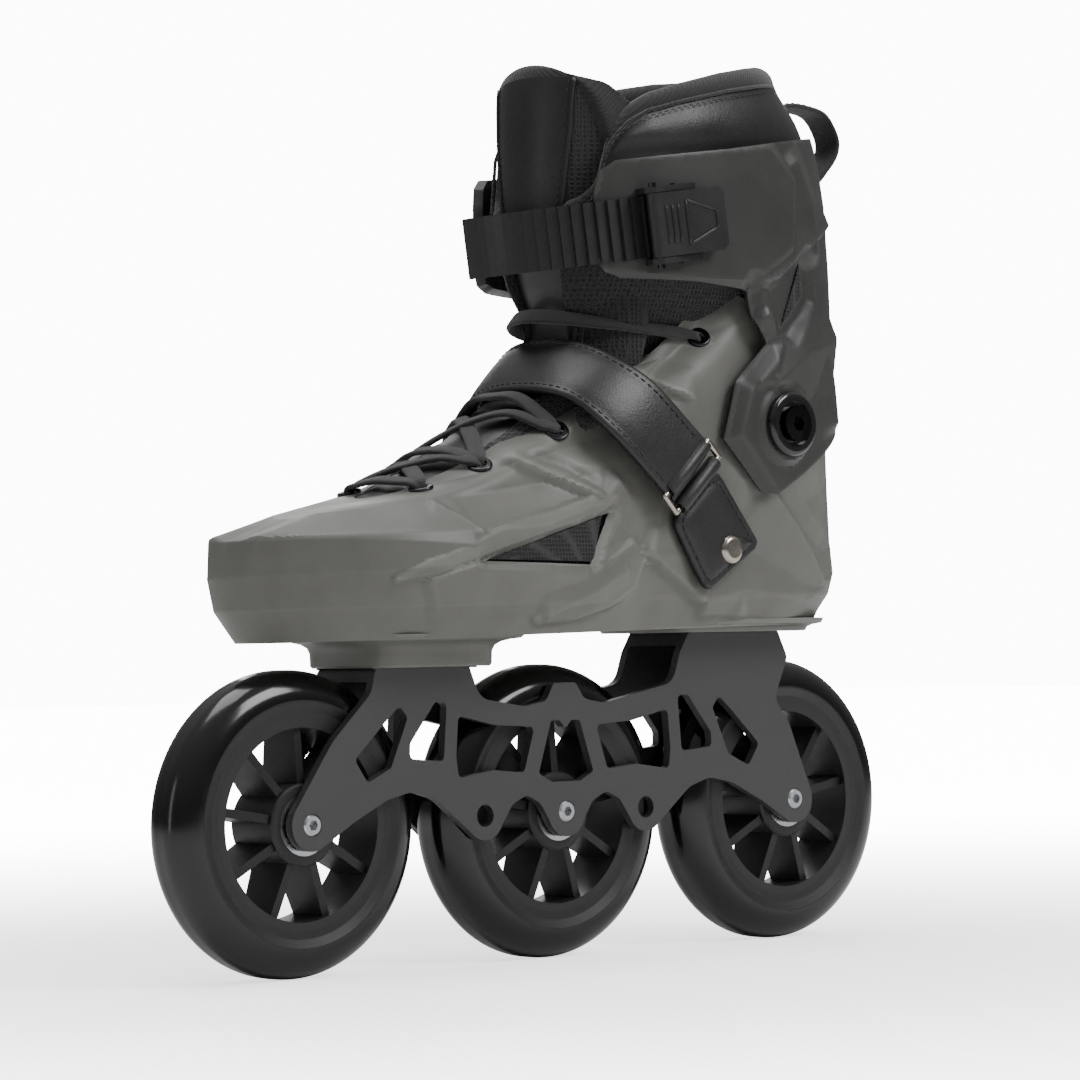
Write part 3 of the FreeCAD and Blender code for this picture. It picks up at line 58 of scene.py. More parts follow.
class Mat:
    """A node material built with short calls."""

    def __init__(self, name):
        self.material = bpy.data.materials.new(name)
        self.material.use_nodes = True
        self.tree = self.material.node_tree
        self.bsdf = self.tree.nodes["Principled BSDF"]
        self.coords = self.tree.nodes.new("ShaderNodeTexCoord")

    def node(self, kind, inputs=None, **props):
        node = self.tree.nodes.new(kind)
        for key, value in props.items():
            setattr(node, key, value)
        for key, value in (inputs or {}).items():
            self.put(node.inputs[key], value)
        return node

    def put(self, socket, value):
        if isinstance(value, bpy.types.NodeSocket):
            self.tree.links.new(value, socket)
        else:
            socket.default_value = value

    def set(self, **inputs):
        for key, value in inputs.items():
            self.put(self.bsdf.inputs[key.replace("_", " ")], value)

    def math(self, operation, a, b=0.0, c=0.0, clamp=False):
        node = self.node("ShaderNodeMath", operation=operation, use_clamp=clamp)
        for socket, value in zip(node.inputs, (a, b, c)):
            self.put(socket, value)
        return node.outputs[0]

    def ramp(self, value, low, high, out_low=0.0, out_high=1.0, smooth=False):
        kind = "SMOOTHSTEP" if smooth else "LINEAR"
        node = self.node("ShaderNodeMapRange", interpolation_type=kind)
        for key, number in zip(("Value", "From Min", "From Max", "To Min", "To Max"), (value, low, high, out_low, out_high)):
            self.put(node.inputs[key], number)
        return node.outputs[0]

    def mix(self, factor, a, b):
        node = self.node("ShaderNodeMix", data_type="RGBA")
        self.put(node.inputs[0], factor)
        self.put(node.inputs[6], a)
        self.put(node.inputs[7], b)
        return node.outputs[2]

    def noise(self, scale, detail=3.0, rough=0.55, vector=None):
        node = self.node("ShaderNodeTexNoise")
        self.put(node.inputs["Vector"], vector or self.coords.outputs["Object"])
        node.inputs["Scale"].default_value = scale
        node.inputs["Detail"].default_value = detail
        node.inputs["Roughness"].default_value = rough
        return node.outputs[0]

    def voronoi(self, scale, feature="F1", vector=None, randomness=1.0):
        node = self.node("ShaderNodeTexVoronoi", feature=feature)
        self.put(node.inputs["Vector"], vector or self.coords.outputs["Object"])
        node.inputs["Scale"].default_value = scale
        node.inputs["Randomness"].default_value = randomness
        return node.outputs["Distance"]

    def bump(self, height, strength, distance, normal=None):
        node = self.node("ShaderNodeBump")
        node.inputs["Strength"].default_value = strength
        node.inputs["Distance"].default_value = distance
        self.put(node.inputs["Height"], height)
        if normal is not None:
            self.put(node.inputs["Normal"], normal)
        return node.outputs[0]

    def finish(self, normal=None):
        if normal is not None:
            self.put(self.bsdf.inputs["Normal"], normal)
        return self.material


def rgb(r, g, b):
    return (r, g, b, 1.0)


def shade(color, factor):
    return (color[0] * factor, color[1] * factor, color[2] * factor, 1.0)


def worn_edges(m, amount_from=0.502, amount_to=0.56):
    """0 on flats, towards 1 along convex edges."""
    geometry = m.node("ShaderNodeNewGeometry")
    return m.ramp(geometry.outputs["Pointiness"], amount_from, amount_to)


def plastic(name, color, rough=0.5, grain=0.35, grain_scale=1400, edge=0.35, specular=0.4):
    """Moulded plastic: fine spark-eroded grain, faint blotches and lighter edges."""
    m = Mat(name)
    blotch = m.noise(26, 4)
    tone = m.mix(m.ramp(blotch, 0.35, 0.65), shade(color, 0.9), shade(color, 1.1))
    wear = m.math("MULTIPLY", worn_edges(m), edge)
    lighter = (min(1, color[0] * 1.9 + 0.02), min(1, color[1] * 1.9 + 0.02), min(1, color[2] * 1.9 + 0.02), 1)
    m.set(Base_Color=m.mix(wear, tone, lighter))
    m.set(Roughness=m.ramp(m.noise(60, 3), 0.3, 0.7, rough - 0.05, rough + 0.07))
    m.bsdf.inputs["Specular IOR Level"].default_value = specular
    fine = m.noise(grain_scale, 2, 0.6)
    wavy = m.noise(14, 2)
    normal = m.bump(wavy, 0.05, 0.002)
    return m.finish(m.bump(fine, grain, 0.00012, normal))


def metal(name, color, rough=0.3, brushed=0.0, bump=0.1, metallic=1.0, coat=0.0):
    """Plated or turned metal: fine brushed lines along Y and small roughness changes."""
    m = Mat(name)
    stretched = m.node("ShaderNodeMapping", {"Vector": m.coords.outputs["Object"]})
    stretched.inputs["Scale"].default_value = (1, 30, 1)
    lines = m.noise(900, 2, 0.5, stretched.outputs[0])
    smudge = m.noise(90, 4)
    m.set(Base_Color=m.mix(m.ramp(smudge, 0.3, 0.7), shade(color, 0.86), color))
    m.set(Metallic=metallic)
    m.set(Roughness=m.ramp(smudge, 0.3, 0.7, rough - 0.06, rough + 0.08))
    m.bsdf.inputs["Coat Weight"].default_value = coat
    normal = m.bump(lines, bump + brushed, 0.00005)
    return m.finish(normal)


def anodised(name, color):
    """Satin black anodising: bead-blasted grain and a faint bright line where edges have worn."""
    m = Mat(name)
    smudge = m.noise(22, 5)
    tone = m.mix(m.ramp(smudge, 0.35, 0.7), shade(color, 0.85), shade(color, 1.15))
    wear = m.math("MULTIPLY", worn_edges(m, 0.51, 0.6), 0.35)
    m.set(Base_Color=m.mix(wear, tone, rgb(0.16, 0.16, 0.165)), Metallic=0.35)
    m.set(Roughness=m.ramp(m.noise(75, 3), 0.3, 0.7, 0.42, 0.53))
    blast = m.noise(2600, 2, 0.7)
    return m.finish(m.bump(blast, 0.22, 0.00006))


# ---------------------------------------------------------------- surfaces cut along clean outlines


def in_polygon(points, polygon):
    """Which of the N x 2 points are inside the polygon."""
    x, y = points[:, 0], points[:, 1]
    inside = np.zeros(len(points), bool)
    count = len(polygon)
    for i in range(count):
        (x0, y0), (x1, y1) = polygon[i], polygon[(i + 1) % count]
        crosses = (y0 > y) != (y1 > y)
        with np.errstate(divide="ignore", invalid="ignore"):
            at = (x1 - x0) * (y - y0) / (y1 - y0) + x0
        inside ^= crosses & (x < at)
    return inside


def nearest_on_polygon(points, polygon):
    """The nearest point of the polygon's outline to each point, and its distance."""
    best = np.full(len(points), np.inf)
    spot = points.copy()
    count = len(polygon)
    for i in range(count):
        a, b = np.array(polygon[i], float), np.array(polygon[(i + 1) % count], float)
        ab = b - a
        t = np.clip((points - a) @ ab / max(ab @ ab, 1e-12), 0, 1)
        q = a + t[:, None] * ab
        d = np.linalg.norm(points - q, axis=1)
        closer = d < best
        best[closer], spot[closer] = d[closer], q[closer]
    return spot, best


class Sheet:
    """A quad grid over (u, v) that holes and outlines cut cleanly, then a surface function lifts into space."""

    def __init__(self, surface, u, v, wrap=False):
        self.surface = surface
        self.uv = np.array([(a, b) for b in v for a in u], float)
        columns, rows = len(u), len(v)
        faces = []
        for j in range(rows - 1):
            for i in range(columns - (0 if wrap else 1)):
                k = (i + 1) % columns
                faces.append((j * columns + i, j * columns + k, (j + 1) * columns + k, (j + 1) * columns + i))
        self.faces = np.array(faces)
        self.step_u, self.step_v = (u[-1] - u[0]) / (columns - 1), (v[-1] - v[0]) / (rows - 1)

    def cut(self, project, polygon, keep_inside=False, where=None):
        """Drops the faces inside (or outside) a polygon seen through project, and fits the edge to it."""
        seen = project(self.surface(self.uv))
        centre = seen[self.faces].mean(axis=1)
        inside = in_polygon(centre, polygon)
        if keep_inside:
            inside = ~inside
        if where is not None:
            inside &= where(self.surface(self.uv)[self.faces].mean(axis=1))
        kept, dropped = self.faces[~inside], self.faces[inside]
        rim = np.intersect1d(kept.ravel(), dropped.ravel())
        if len(rim) == 0:
            self.faces = kept
            return
        uv = self.uv[rim].copy()
        target, _ = nearest_on_polygon(project(self.surface(uv)), polygon)
        for corner in np.array(polygon, float):
            spots = project(self.surface(uv))
            gaps = np.linalg.norm(spots - corner, axis=1)
            target[int(np.argmin(gaps))] = corner
        for _ in range(4):
            here = project(self.surface(uv))
            du = (project(self.surface(uv + [self.step_u * 0.1, 0])) - here) / (self.step_u * 0.1)
            dv = (project(self.surface(uv + [0, self.step_v * 0.1])) - here) / (self.step_v * 0.1)
            det = du[:, 0] * dv[:, 1] - du[:, 1] * dv[:, 0]
            det = np.where(np.abs(det) < 1e-9, 1e-9, det)
            gap = target - here
            move_u = (gap[:, 0] * dv[:, 1] - gap[:, 1] * dv[:, 0]) / det
            move_v = (du[:, 0] * gap[:, 1] - du[:, 1] * gap[:, 0]) / det
            uv += np.stack([np.clip(move_u, -self.step_u, self.step_u), np.clip(move_v, -self.step_v, self.step_v)], 1)
        limit = np.array([self.step_u, self.step_v]) * 1.6
        self.uv[rim] += np.clip(uv - self.uv[rim], -limit, limit)
        self.faces = kept

    def mesh(self, name, finish=None):
        """The lifted mesh as an object, in metres; finish may move the points first."""
        points = self.surface(self.uv)
        if finish is not None:
            points = finish(points, self.uv)
        used = np.unique(self.faces)
        index = -np.ones(len(points), int)
        index[used] = np.arange(len(used))
        data = bpy.data.meshes.new(name)
        data.from_pydata((points[used] * MM).tolist(), [], index[self.faces].tolist())
        data.validate()
        obj = bpy.data.objects.new(name, data)
        bpy.context.scene.collection.objects.link(obj)
        layer = data.uv_layers.new(name="UVMap")
        loops = np.zeros(len(data.loops), int)
        data.loops.foreach_get("vertex_index", loops)
        layer.data.foreach_set("uv", (self.uv[used][loops] * MM).ravel())
        return obj


def merge_close(obj, distance=0.00002, recalc=True):
    bm = bmesh.new()
    bm.from_mesh(obj.data)
    bmesh.ops.remove_doubles(bm, verts=bm.verts, dist=distance)
    if recalc:
        bmesh.ops.recalc_face_normals(bm, faces=bm.faces)
    bm.to_mesh(obj.data)
    bm.free()


def thicken(obj, depth):
    """Gives an open sheet a wall: a copy moved against its smoothed normals, joined along the rims."""
    bm = bmesh.new()
    bm.from_mesh(obj.data)
    bm.normal_update()
    bm.verts.ensure_lookup_table()
    count = len(bm.verts)
    normals = np.array([v.normal for v in bm.verts])
    pairs = np.array([(e.verts[0].index, e.verts[1].index) for e in bm.edges])
    for _ in range(3):
        total = normals.copy()
        np.add.at(total, pairs[:, 0], normals[pairs[:, 1]])
        np.add.at(total, pairs[:, 1], normals[pairs[:, 0]])
        normals = total / np.maximum(np.linalg.norm(total, axis=1, keepdims=True), 1e-9)
    rims = [(e.verts[0].index, e.verts[1].index) for e in bm.edges if e.is_boundary]
    rim_faces = {frozenset(r): next(f for f in bm.edges.get([bm.verts[r[0]], bm.verts[r[1]]]).link_faces) for r in rims}
    order = {}
    for key, face in rim_faces.items():
        loop_verts = [v.index for v in face.verts]
        for i, a in enumerate(loop_verts):
            c = loop_verts[(i + 1) % len(loop_verts)]
            if frozenset((a, c)) == key:
                order[key] = (a, c)
    faces = [[v.index for v in f.verts] for f in bm.faces]
    points = np.array([v.co for v in bm.verts])
    inner = points - normals * depth
    everything = np.concatenate([points, inner])
    faces += [[i + count for i in reversed(face)] for face in faces]
    faces += [(c, a, a + count, c + count) for a, c in order.values()]
    bm.free()
    data = bpy.data.meshes.new(obj.name)
    data.from_pydata(everything.tolist(), [], faces)
    data.validate()
    obj.data = data


def apply_modifiers(obj):
    """Replaces the mesh by its evaluated result."""
    bpy.context.view_layer.update()
    depsgraph = bpy.context.evaluated_depsgraph_get()
    mesh = bpy.data.meshes.new_from_object(obj.evaluated_get(depsgraph))
    old = obj.data
    obj.modifiers.clear()
    obj.data = mesh
    mesh.name = obj.name
    if old.users == 0:
        bpy.data.meshes.remove(old)


def smooth_shading(obj, angle=32):
    """Smooth shading with sharp edges above an angle."""
    for polygon in obj.data.polygons:
        polygon.use_smooth = True
    obj.data.set_sharp_from_angle(angle=math.radians(angle))


def add_modifier(obj, kind, **props):
    modifier = obj.modifiers.new(kind.title(), kind)
    for key, value in props.items():
        setattr(modifier, key, value)
    return modifier


def assign(obj, *materials):
    obj.data.materials.clear()
    for material in materials:
        obj.data.materials.append(material)


def add_piece(obj, body, replaces=()):
    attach(obj, body)
    if replaces:
        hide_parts(*replaces)
    return obj


def smooth_step(x, low, high):
    t = np.clip((x - low) / (high - low), 0, 1)
    return t * t * (3 - 2 * t)


def along_polyline(points, polyline):
    """Distance of each point to an open polyline, and how far along it the nearest spot is (0 to 1)."""
    best = np.full(len(points), np.inf)
    share = np.zeros(len(points))
    side = np.zeros(len(points))
    lengths = [math.dist(a, b) for a, b in zip(polyline, polyline[1:])]
    total, before = sum(lengths), 0.0
    for (a, b), length in zip(zip(polyline, polyline[1:]), lengths):
        a, b = np.array(a, float), np.array(b, float)
        ab = b - a
        t = np.clip((points - a) @ ab / (ab @ ab), 0, 1)
        q = a + t[:, None] * ab
        d = np.linalg.norm(points - q, axis=1)
        closer = d < best
        best[closer] = d[closer]
        share[closer] = ((before + t * length) / total)[closer]
        rel = points - a
        side[closer] = (ab[0] * rel[:, 1] - ab[1] * rel[:, 0])[closer]
        before += length
    return best, share, np.sign(side)


def fold(points, polyline, height, reach_left, reach_right, taper=0.12):
    """A crease: full height on the line, falling in straight slopes to each side, fading at its ends."""
    distance, share, side = along_polyline(points, polyline)
    reach = np.where(side >= 0, reach_left, reach_right)
    ends = np.clip(np.minimum(share, 1 - share) / taper, 0, 1) if taper else 1.0
    return height * np.clip(1 - distance / np.maximum(reach, 1e-6), 0, 1) * ends


def panel(points, polygon, height, bevel):
    """A raised flat panel with a sloping edge just outside its outline."""
    _, distance = nearest_on_polygon(points, polygon)
    distance = np.where(in_polygon(points, polygon), 0, distance)
    return height * np.clip(1 - distance / bevel, 0, 1)


# ---------------------------------------------------------------- lower shell

# slanted sections: front (x, z), back (x, z), half width at the ball, the waist and the heel, in mm
FOOT_SECTIONS = [
    ((131, 119.5), (-141, 124), (40, 31, 30)),
    ((138, 131), (-147, 136), (46, 37, 35)),
    ((140, 143), (-149, 155), (48, 40, 36.5)),
    ((137, 156), (-147, 178), (45, 41, 38)),
    ((116, 164), (-144, 203), (34, 40, 40.5)),
    ((78, 173), (-138, 227), (32, 39.5, 40.5)),
    ((34, 191), (-136, 250), (32, 39.5, 40)),
    ((-8, 211), (-135, 268), (31, 39, 39.5)),
    ((-36, 235), (-134, 285), (30, 38, 38)),
]
STATIONS = (0.3, 0.58, 0.85)
TOE_ROUNDING, HEEL_ROUNDING = 0.26, 0.19


def foot_row(k):
    """Section values at a fractional section number, from straight lines between the sections."""
    table = np.array([[*f, *b, *w] for f, b, w in FOOT_SECTIONS], float)
    k = np.clip(k, 0, len(table) - 1)
    low = np.minimum(k.astype(int), len(table) - 2)
    share = (k - low)[:, None]
    return table[low] * (1 - share) + table[low + 1] * share


def foot_point(k, turn, inset=0.0):
    """Points of the boot's outside: k is the section number, turn goes from 0 (toe) round to 2 (toe again)."""
    row = foot_row(k)
    angle = math.pi * turn
    s = (1 - np.cos(angle)) / 2
    half = np.full(len(k), 0.0)
    widths = row[:, 4:7]
    s0, s1, s2 = STATIONS
    first = (1 - np.cos(np.pi * np.clip((s - s0) / (s1 - s0), 0, 1))) / 2
    second = (1 - np.cos(np.pi * np.clip((s - s1) / (s2 - s1), 0, 1))) / 2
    half = widths[:, 0] + (widths[:, 1] - widths[:, 0]) * first + (widths[:, 2] - widths[:, 1]) * second
    half = half - inset
    toe = np.sqrt(1 - (1 - np.clip(s / TOE_ROUNDING, 0, 1)) ** 2)
    heel = np.sqrt(1 - (1 - np.clip((1 - s) / HEEL_ROUNDING, 0, 1)) ** 2)
    x = row[:, 0] + (row[:, 2] - row[:, 0]) * s
    z = row[:, 1] + (row[:, 3] - row[:, 1]) * s
    shift = np.where(x > 60, -9 * ((x - 60) / 80) ** 2, 0)
    side = np.where(np.mod(turn, 2) <= 1, 1, -1)
    return np.stack([x, shift + side * half * toe * heel, z], 1)


THROAT = [(84, 0), (80, 9), (70, 13), (45, 17), (14, 21), (-15, 25), (-30, 28), (-44, 30)]
SHELL_TOP = [(-62, 255), (-76, 250), (-104, 228), (-138, 222), (-150, 221)]
MERIDIANS, RING_ROWS = 330, 190
VENT = [(65, 147.6), (-2.4, 165.6), (9.4, 146.4)]
EYELETS = [(72, 20.5), (47, 24.5), (14, 30), (-57, 33)]
EYELET_HOLE = 3.1


def side_view(points):
    return points[:, [0, 2]]


def foot_surface(k, turn):
    """The boot's outside with its ridge at the toe cap kept level."""
    points = foot_point(k, turn)
    row = foot_row(k)
    s = (1 - np.cos(math.pi * turn)) / 2
    level = np.clip(1 - np.abs(k - 3) / 1.2, 0, 1)
    points[:, 2] += level * (row[:, 3] - row[:, 1]) * (s ** 1.7 - s)
    return points


def rim_of_shell():
    """(k, turn) along the shell's upper edge, from the throat's front round to the back."""
    ks, ts = np.meshgrid(np.linspace(3, 8.4, 700), np.linspace(0, 0.62, 500), indexing="ij")
    k, t = ks.ravel(), ts.ravel()
    cloud = foot_surface(k, t)
    plan = cloud[:, :2].copy()
    plan[:, 1] -= np.where(cloud[:, 0] > 60, -9 * ((cloud[:, 0] - 60) / 80) ** 2, 0)
    line = np.array(resample_line(THROAT, 44))
    rim = []
    for spot in line:
        best = int(np.argmin(((plan - spot) ** 2).sum(1)))
        rim.append((k[best], t[best]))
    rim[0] = (rim[0][0], 0.0)
    tops = np.array(SHELL_TOP, float)[::-1]
    fine = np.linspace(0, 8.4, 1500)
    start = rim[-1][1] + 0.035
    for turn in np.linspace(start, 1, 46):
        column = foot_surface(fine, np.full(len(fine), turn))
        want = np.interp(column[:, 0], tops[:, 0], tops[:, 1])
        best = int(np.argmin(np.abs(column[:, 2] - want)))
        rim.append((fine[best], turn))
    return np.array(rim)


def resample_line(points, count):
    """Evenly spaced points along a polyline."""
    points = np.array(points, float)
    steps = np.linalg.norm(np.diff(points, axis=0), axis=1)
    far = np.concatenate([[0], np.cumsum(steps)])
    at = np.linspace(0, far[-1], count)
    return np.stack([np.interp(at, far, points[:, i]) for i in range(points.shape[1])], 1)


def shell_grid():
    """Points of the half shell: rows from the sole's middle line up to the rim, columns from toe to heel."""
    rim = rim_of_shell()
    for _ in range(3):
        rim[1:-1] = (rim[:-2] + 2 * rim[1:-1] + rim[2:]) / 4
    spots = foot_surface(rim[:, 0], rim[:, 1])
    far = np.concatenate([[0], np.cumsum(np.linalg.norm(np.diff(spots, axis=0), axis=1))])
    anchors_x = [60, 25, -10, -44, -70, -100, -128]
    sole_turn = lambda x: math.acos(1 - 2 * (131 - x) / 272) / math.pi
    at_turn = [0.0] + [sole_turn(x) for x in anchors_x] + [1.0]
    at_far = [0.0] + [float(np.interp(-x, -spots[:, 0], far)) for x in anchors_x] + [far[-1]]
    turns = np.linspace(0, 1, MERIDIANS)
    along = np.interp(turns, at_turn, at_far)
    rim_k, rim_t = np.interp(along, far, rim[:, 0]), np.interp(along, far, rim[:, 1])
    fine = np.linspace(0, 1, 260)
    grid_k, grid_t = np.zeros((RING_ROWS, MERIDIANS)), np.zeros((RING_ROWS, MERIDIANS))
    for i in range(MERIDIANS):
        k = rim_k[i] * fine
        t = turns[i] + (rim_t[i] - turns[i]) * smooth_step(fine, 0.05, 1)
        column = foot_surface(k, t)
        length = np.concatenate([[0], np.cumsum(np.linalg.norm(np.diff(column, axis=0), axis=1))])
        want = np.linspace(0, length[-1], RING_ROWS)
        grid_k[:, i], grid_t[:, i] = np.interp(want, length, k), np.interp(want, length, t)
    return grid_k, grid_t


def shell_relief(xz):
    """How far the moulded panels and creases stand out, by the side view's x and z."""
    raised = [
        fold(xz, [(150, 156.5), (104, 155), (66, 152.8)], 2.2, 12, 20, 0.04),
        panel(xz, [(100, 141.2), (89, 147), (56, 158.8), (27, 165), (3, 172), (-6, 171), (0, 167), (27, 160), (56, 152.5), (85, 144)], 2.0, 2.0),
        fold(xz, [(92, 139), (80, 143.6), (64, 147.2), (8, 146)], 2.0, 20, 2.6, 0.05),
        fold(xz, [(78, 170), (66.5, 159), (60, 152)], 1.8, 14, 2.5, 0.1),
        fold(xz, [(42, 186), (18, 177), (-4, 168)], 2.8, 2.5, 15, 0.15),
        fold(xz, [(3, 169), (-10, 179)], 2.0, 12, 7, 0.2),
        fold(xz, [(-16, 223), (-31.6, 214), (-50, 208)], 2.8, 2.5, 13, 0.15),
        fold(xz, [(-18, 221), (-31, 211.5), (-45, 214)], 1.6, 3, 9, 0.2),
        panel(xz, [(38.6, 127.4), (9.6, 143), (-13, 154.6), (-19.4, 149.2), (-15.6, 138.4), (-3.2, 131.5), (34, 122.5)], 1.6, 2.2),
        fold(xz, [(38.6, 127.4), (8, 137), (-14, 147)], 3.0, 13, 11, 0.1),
        fold(xz, [(-17, 153), (-48.6, 135), (-56, 132.5)], 3.4, 4, 20, 0.1),
        fold(xz, [(-50, 131.5), (-73.5, 137.2), (-111, 133.6), (-126, 139)], 3.0, 18, 14, 0.05),
        fold(xz, [(-73.5, 137), (-74, 118)], 2.8, 18, 14, 0.05),
        fold(xz, [(-84, 178), (-105, 158), (-125, 138)], 3.4, 22, 4.5, 0.06),
        fold(xz, [(-123, 139), (-150, 147)], 2.2, 13, 11, 0.1),
        fold(xz, [(-58, 180), (-84, 178), (-122, 192)], 1.8, 16, 16, 0.1),
    ]
    sunk = [
        panel(xz, [(66, 147.6), (-2.5, 166), (9.8, 146)], 2.2, 3.0),
        fold(xz, [(36, 188), (14, 182), (-4, 171)], 1.4, 3, 4, 0.25),
        fold(xz, [(-90, 180), (-112, 160), (-131, 150)], 1.4, 6, 7, 0.15),
    ]
    return np.maximum.reduce(raised) - np.maximum.reduce(sunk)


def grid_normals(points):
    """Outward unit normals of a rows x columns x 3 grid."""
    across = np.gradient(points, axis=1)
    up = np.gradient(points, axis=0)
    normal = np.cross(up, across)
    normal /= np.maximum(np.linalg.norm(normal, axis=2, keepdims=True), 1e-9)
    return normal


def lookup(grid):
    """A function of (u, v) in grid steps that reads a rows x columns x 3 grid between its points."""
    rows, columns, _ = grid.shape

    def read(uv):
        u = np.clip(uv[:, 0], 0, columns - 1.000001)
        v = np.clip(uv[:, 1], 0, rows - 1.000001)
        i, j = u.astype(int), v.astype(int)
        fu, fv = (u - i)[:, None], (v - j)[:, None]
        low = grid[j, i] * (1 - fu) + grid[j, i + 1] * fu
        high = grid[j + 1, i] * (1 - fu) + grid[j + 1, i + 1] * fu
        return low * (1 - fv) + high * fv

    return read


def whole_shell_grid():
    """The displaced outside of the whole shell as one closed ring of columns, with the sole's rows below."""
    grid_k, grid_t = shell_grid()
    half = foot_surface(grid_k.ravel(), grid_t.ravel()).reshape(*grid_k.shape, 3)
    normal = grid_normals(half)
    outward = np.sign((normal * (half - np.array([-40, 0, 165]))).sum(axis=2).mean()) or 1
    normal *= outward
    relief = shell_relief(half[:, :, [0, 2]].reshape(-1, 2)).reshape(grid_k.shape)
    rows = np.arange(RING_ROWS)[:, None]
    relief = relief * smooth_step(rows, 2, 8) * smooth_step(RING_ROWS - rows, 1, 7)
    centre_line = np.where(half[:, :, 0] > 60, -9 * ((half[:, :, 0] - 60) / 80) ** 2, 0)
    near_middle = smooth_step(np.abs(half[:, :, 1] - centre_line), 3, 14)
    half = half + normal * (relief * near_middle)[:, :, None]
    sole = []
    for share in np.linspace(0.02, 0.94, 14):
        ring = half[0].copy()
        ring[:, 1] = centre_line[0] + (ring[:, 1] - centre_line[0]) * share
        ring[:, 0] = -5 + (ring[:, 0] + 5) * (0.9 + 0.1 * share)
        ring[:, 2] -= 0.6 * (1 - share) * 0
        sole.append(ring)
    half = np.concatenate([np.array(sole), half])
    middle = np.where(half[:, :, 0] > 60, -9 * ((half[:, :, 0] - 60) / 80) ** 2, 0)
    other = half.copy()
    other[:, :, 1] = 2 * middle - half[:, :, 1]
    return np.concatenate([half, other[:, -2:0:-1]], axis=1)


SHELL = whole_shell_grid()
SHELL_CLOSED = np.concatenate([SHELL, SHELL[:, :1]], axis=1)
SHELL_NORMAL = grid_normals(SHELL_CLOSED)
SHELL_NORMAL *= np.sign((SHELL_NORMAL * (SHELL_CLOSED - np.array([-20, 0, 165]))).sum(axis=2).mean())


def on_shell(x, y, z_min=150):
    """Point and outward normal of the shell straight above or below (x, y) in plan."""
    flat = SHELL_CLOSED.reshape(-1, 3)
    gap = ((flat[:, :2] - np.array([x, y])) ** 2).sum(1) + np.where(flat[:, 2] < z_min, 1e6, 0)
    best = int(np.argmin(gap))
    return Vector(flat[best]), Vector(SHELL_NORMAL.reshape(-1, 3)[best]).normalized()


def frame_at(point, normal, up=(0, 0, 1)):
    """Two directions in the tangent plane and the normal, as a matrix whose Z is the normal."""
    n = Vector(normal).normalized()
    a = Vector(up).cross(n)
    if a.length < 1e-4:
        a = Vector((1, 0, 0)).cross(n)
    a.normalize()
    b = n.cross(a)
    matrix = Matrix((a, b, n)).transposed().to_4x4()
    matrix.translation = Vector(point)
    return matrix


def circle_points(radius, count=24, squash=1.0):
    return [(radius * math.cos(2 * math.pi * i / count), radius * squash * math.sin(2 * math.pi * i / count)) for i in range(count)]


def make_shell(material, inner_material):
    rows, columns, _ = SHELL_CLOSED.shape
    sheet = Sheet(lookup(SHELL_CLOSED), np.arange(columns, dtype=float), np.arange(rows, dtype=float))
    for side in (1, -1):
        sheet.cut(side_view, VENT, where=lambda p, side=side: p[:, 1] * side > 15)
    for point, normal in EYELET_SPOTS:
        matrix = np.array(frame_at(point, normal).inverted())
        middle = np.array(point)

        def flat(p, matrix=matrix):
            return (p @ matrix[:3, :3].T + matrix[:3, 3])[:, :2]

        sheet.cut(flat, circle_points(EYELET_HOLE, 20), where=lambda p, middle=middle: np.linalg.norm(p - middle, axis=1) < 9)
    obj = sheet.mesh("boot_shell")
    merge_close(obj)
    thicken(obj, 0.0031)
    add_modifier(obj, "BEVEL", width=0.0006, segments=2, limit_method="ANGLE", angle_limit=math.radians(50))
    apply_modifiers(obj)
    assign(obj, material)
    smooth_shading(obj, 28)
    return obj


EYELET_SPOTS = [on_shell(x, y * side) for x, y in EYELETS for side in (1, -1)]


# ---------------------------------------------------------------- cuff

# level sections of the cuff's outside: height, back x, front x, half width
CUFF_SECTIONS = np.array([
    (166, -149.5, 12, 46.5), (203, -149.5, 12, 47.5), (235, -147.5, 12, 47.8), (262, -146.5, 12, 48),
    (288, -144.5, 12, 48), (316, -139, 11, 47.5), (345, -134, 9, 46.5),
], float)
CUFF_OUTLINE = [
    (-86, 173.5), (-79, 173.8), (-59, 194), (-66, 216), (-81, 231), (-74, 240), (-72, 250), (-41, 252.6),
    (-12, 253.2), (-6, 255.5), (-3.4, 261), (-3, 285), (-4.6, 293), (-10, 297), (-58, 303.3), (-92, 309), (-118, 313),
    (-128, 301), (-160, 296), (-160, 203), (-146, 203),
]
CUFF_WINDOW = [(-103.6, 263.6), (-106.5, 251.5), (-90.3, 237.6)]
PIVOT_X, PIVOT_Z = -90, 200
CUFF_BOSS_FACE = 48.4


def oval(angle, level, inset=0.0):
    """Points of the leg's outside; angle 0 is the front, pi the back."""
    back, front, half = (np.interp(level, CUFF_SECTIONS[:, 0], CUFF_SECTIONS[:, i]) for i in (1, 2, 3))
    c, s = np.cos(angle), np.sin(angle)
    x = (front + back) / 2 + ((front - back) / 2 - inset) * np.sign(c) * np.abs(c) ** 0.92
    y = (half - inset) * np.sign(s) * np.abs(s) ** 0.92
    return np.stack([x, y, level + 0 * x], 1)


def arc_table(level, inset, start, end, count=2000):
    """Angles from start to end and the distance walked round the oval to reach each."""
    angles = np.linspace(start, end, count)
    points = oval(angles, np.full(count, float(level)), inset)
    far = np.concatenate([[0], np.cumsum(np.linalg.norm(np.diff(points, axis=0), axis=1))])
    return angles, far


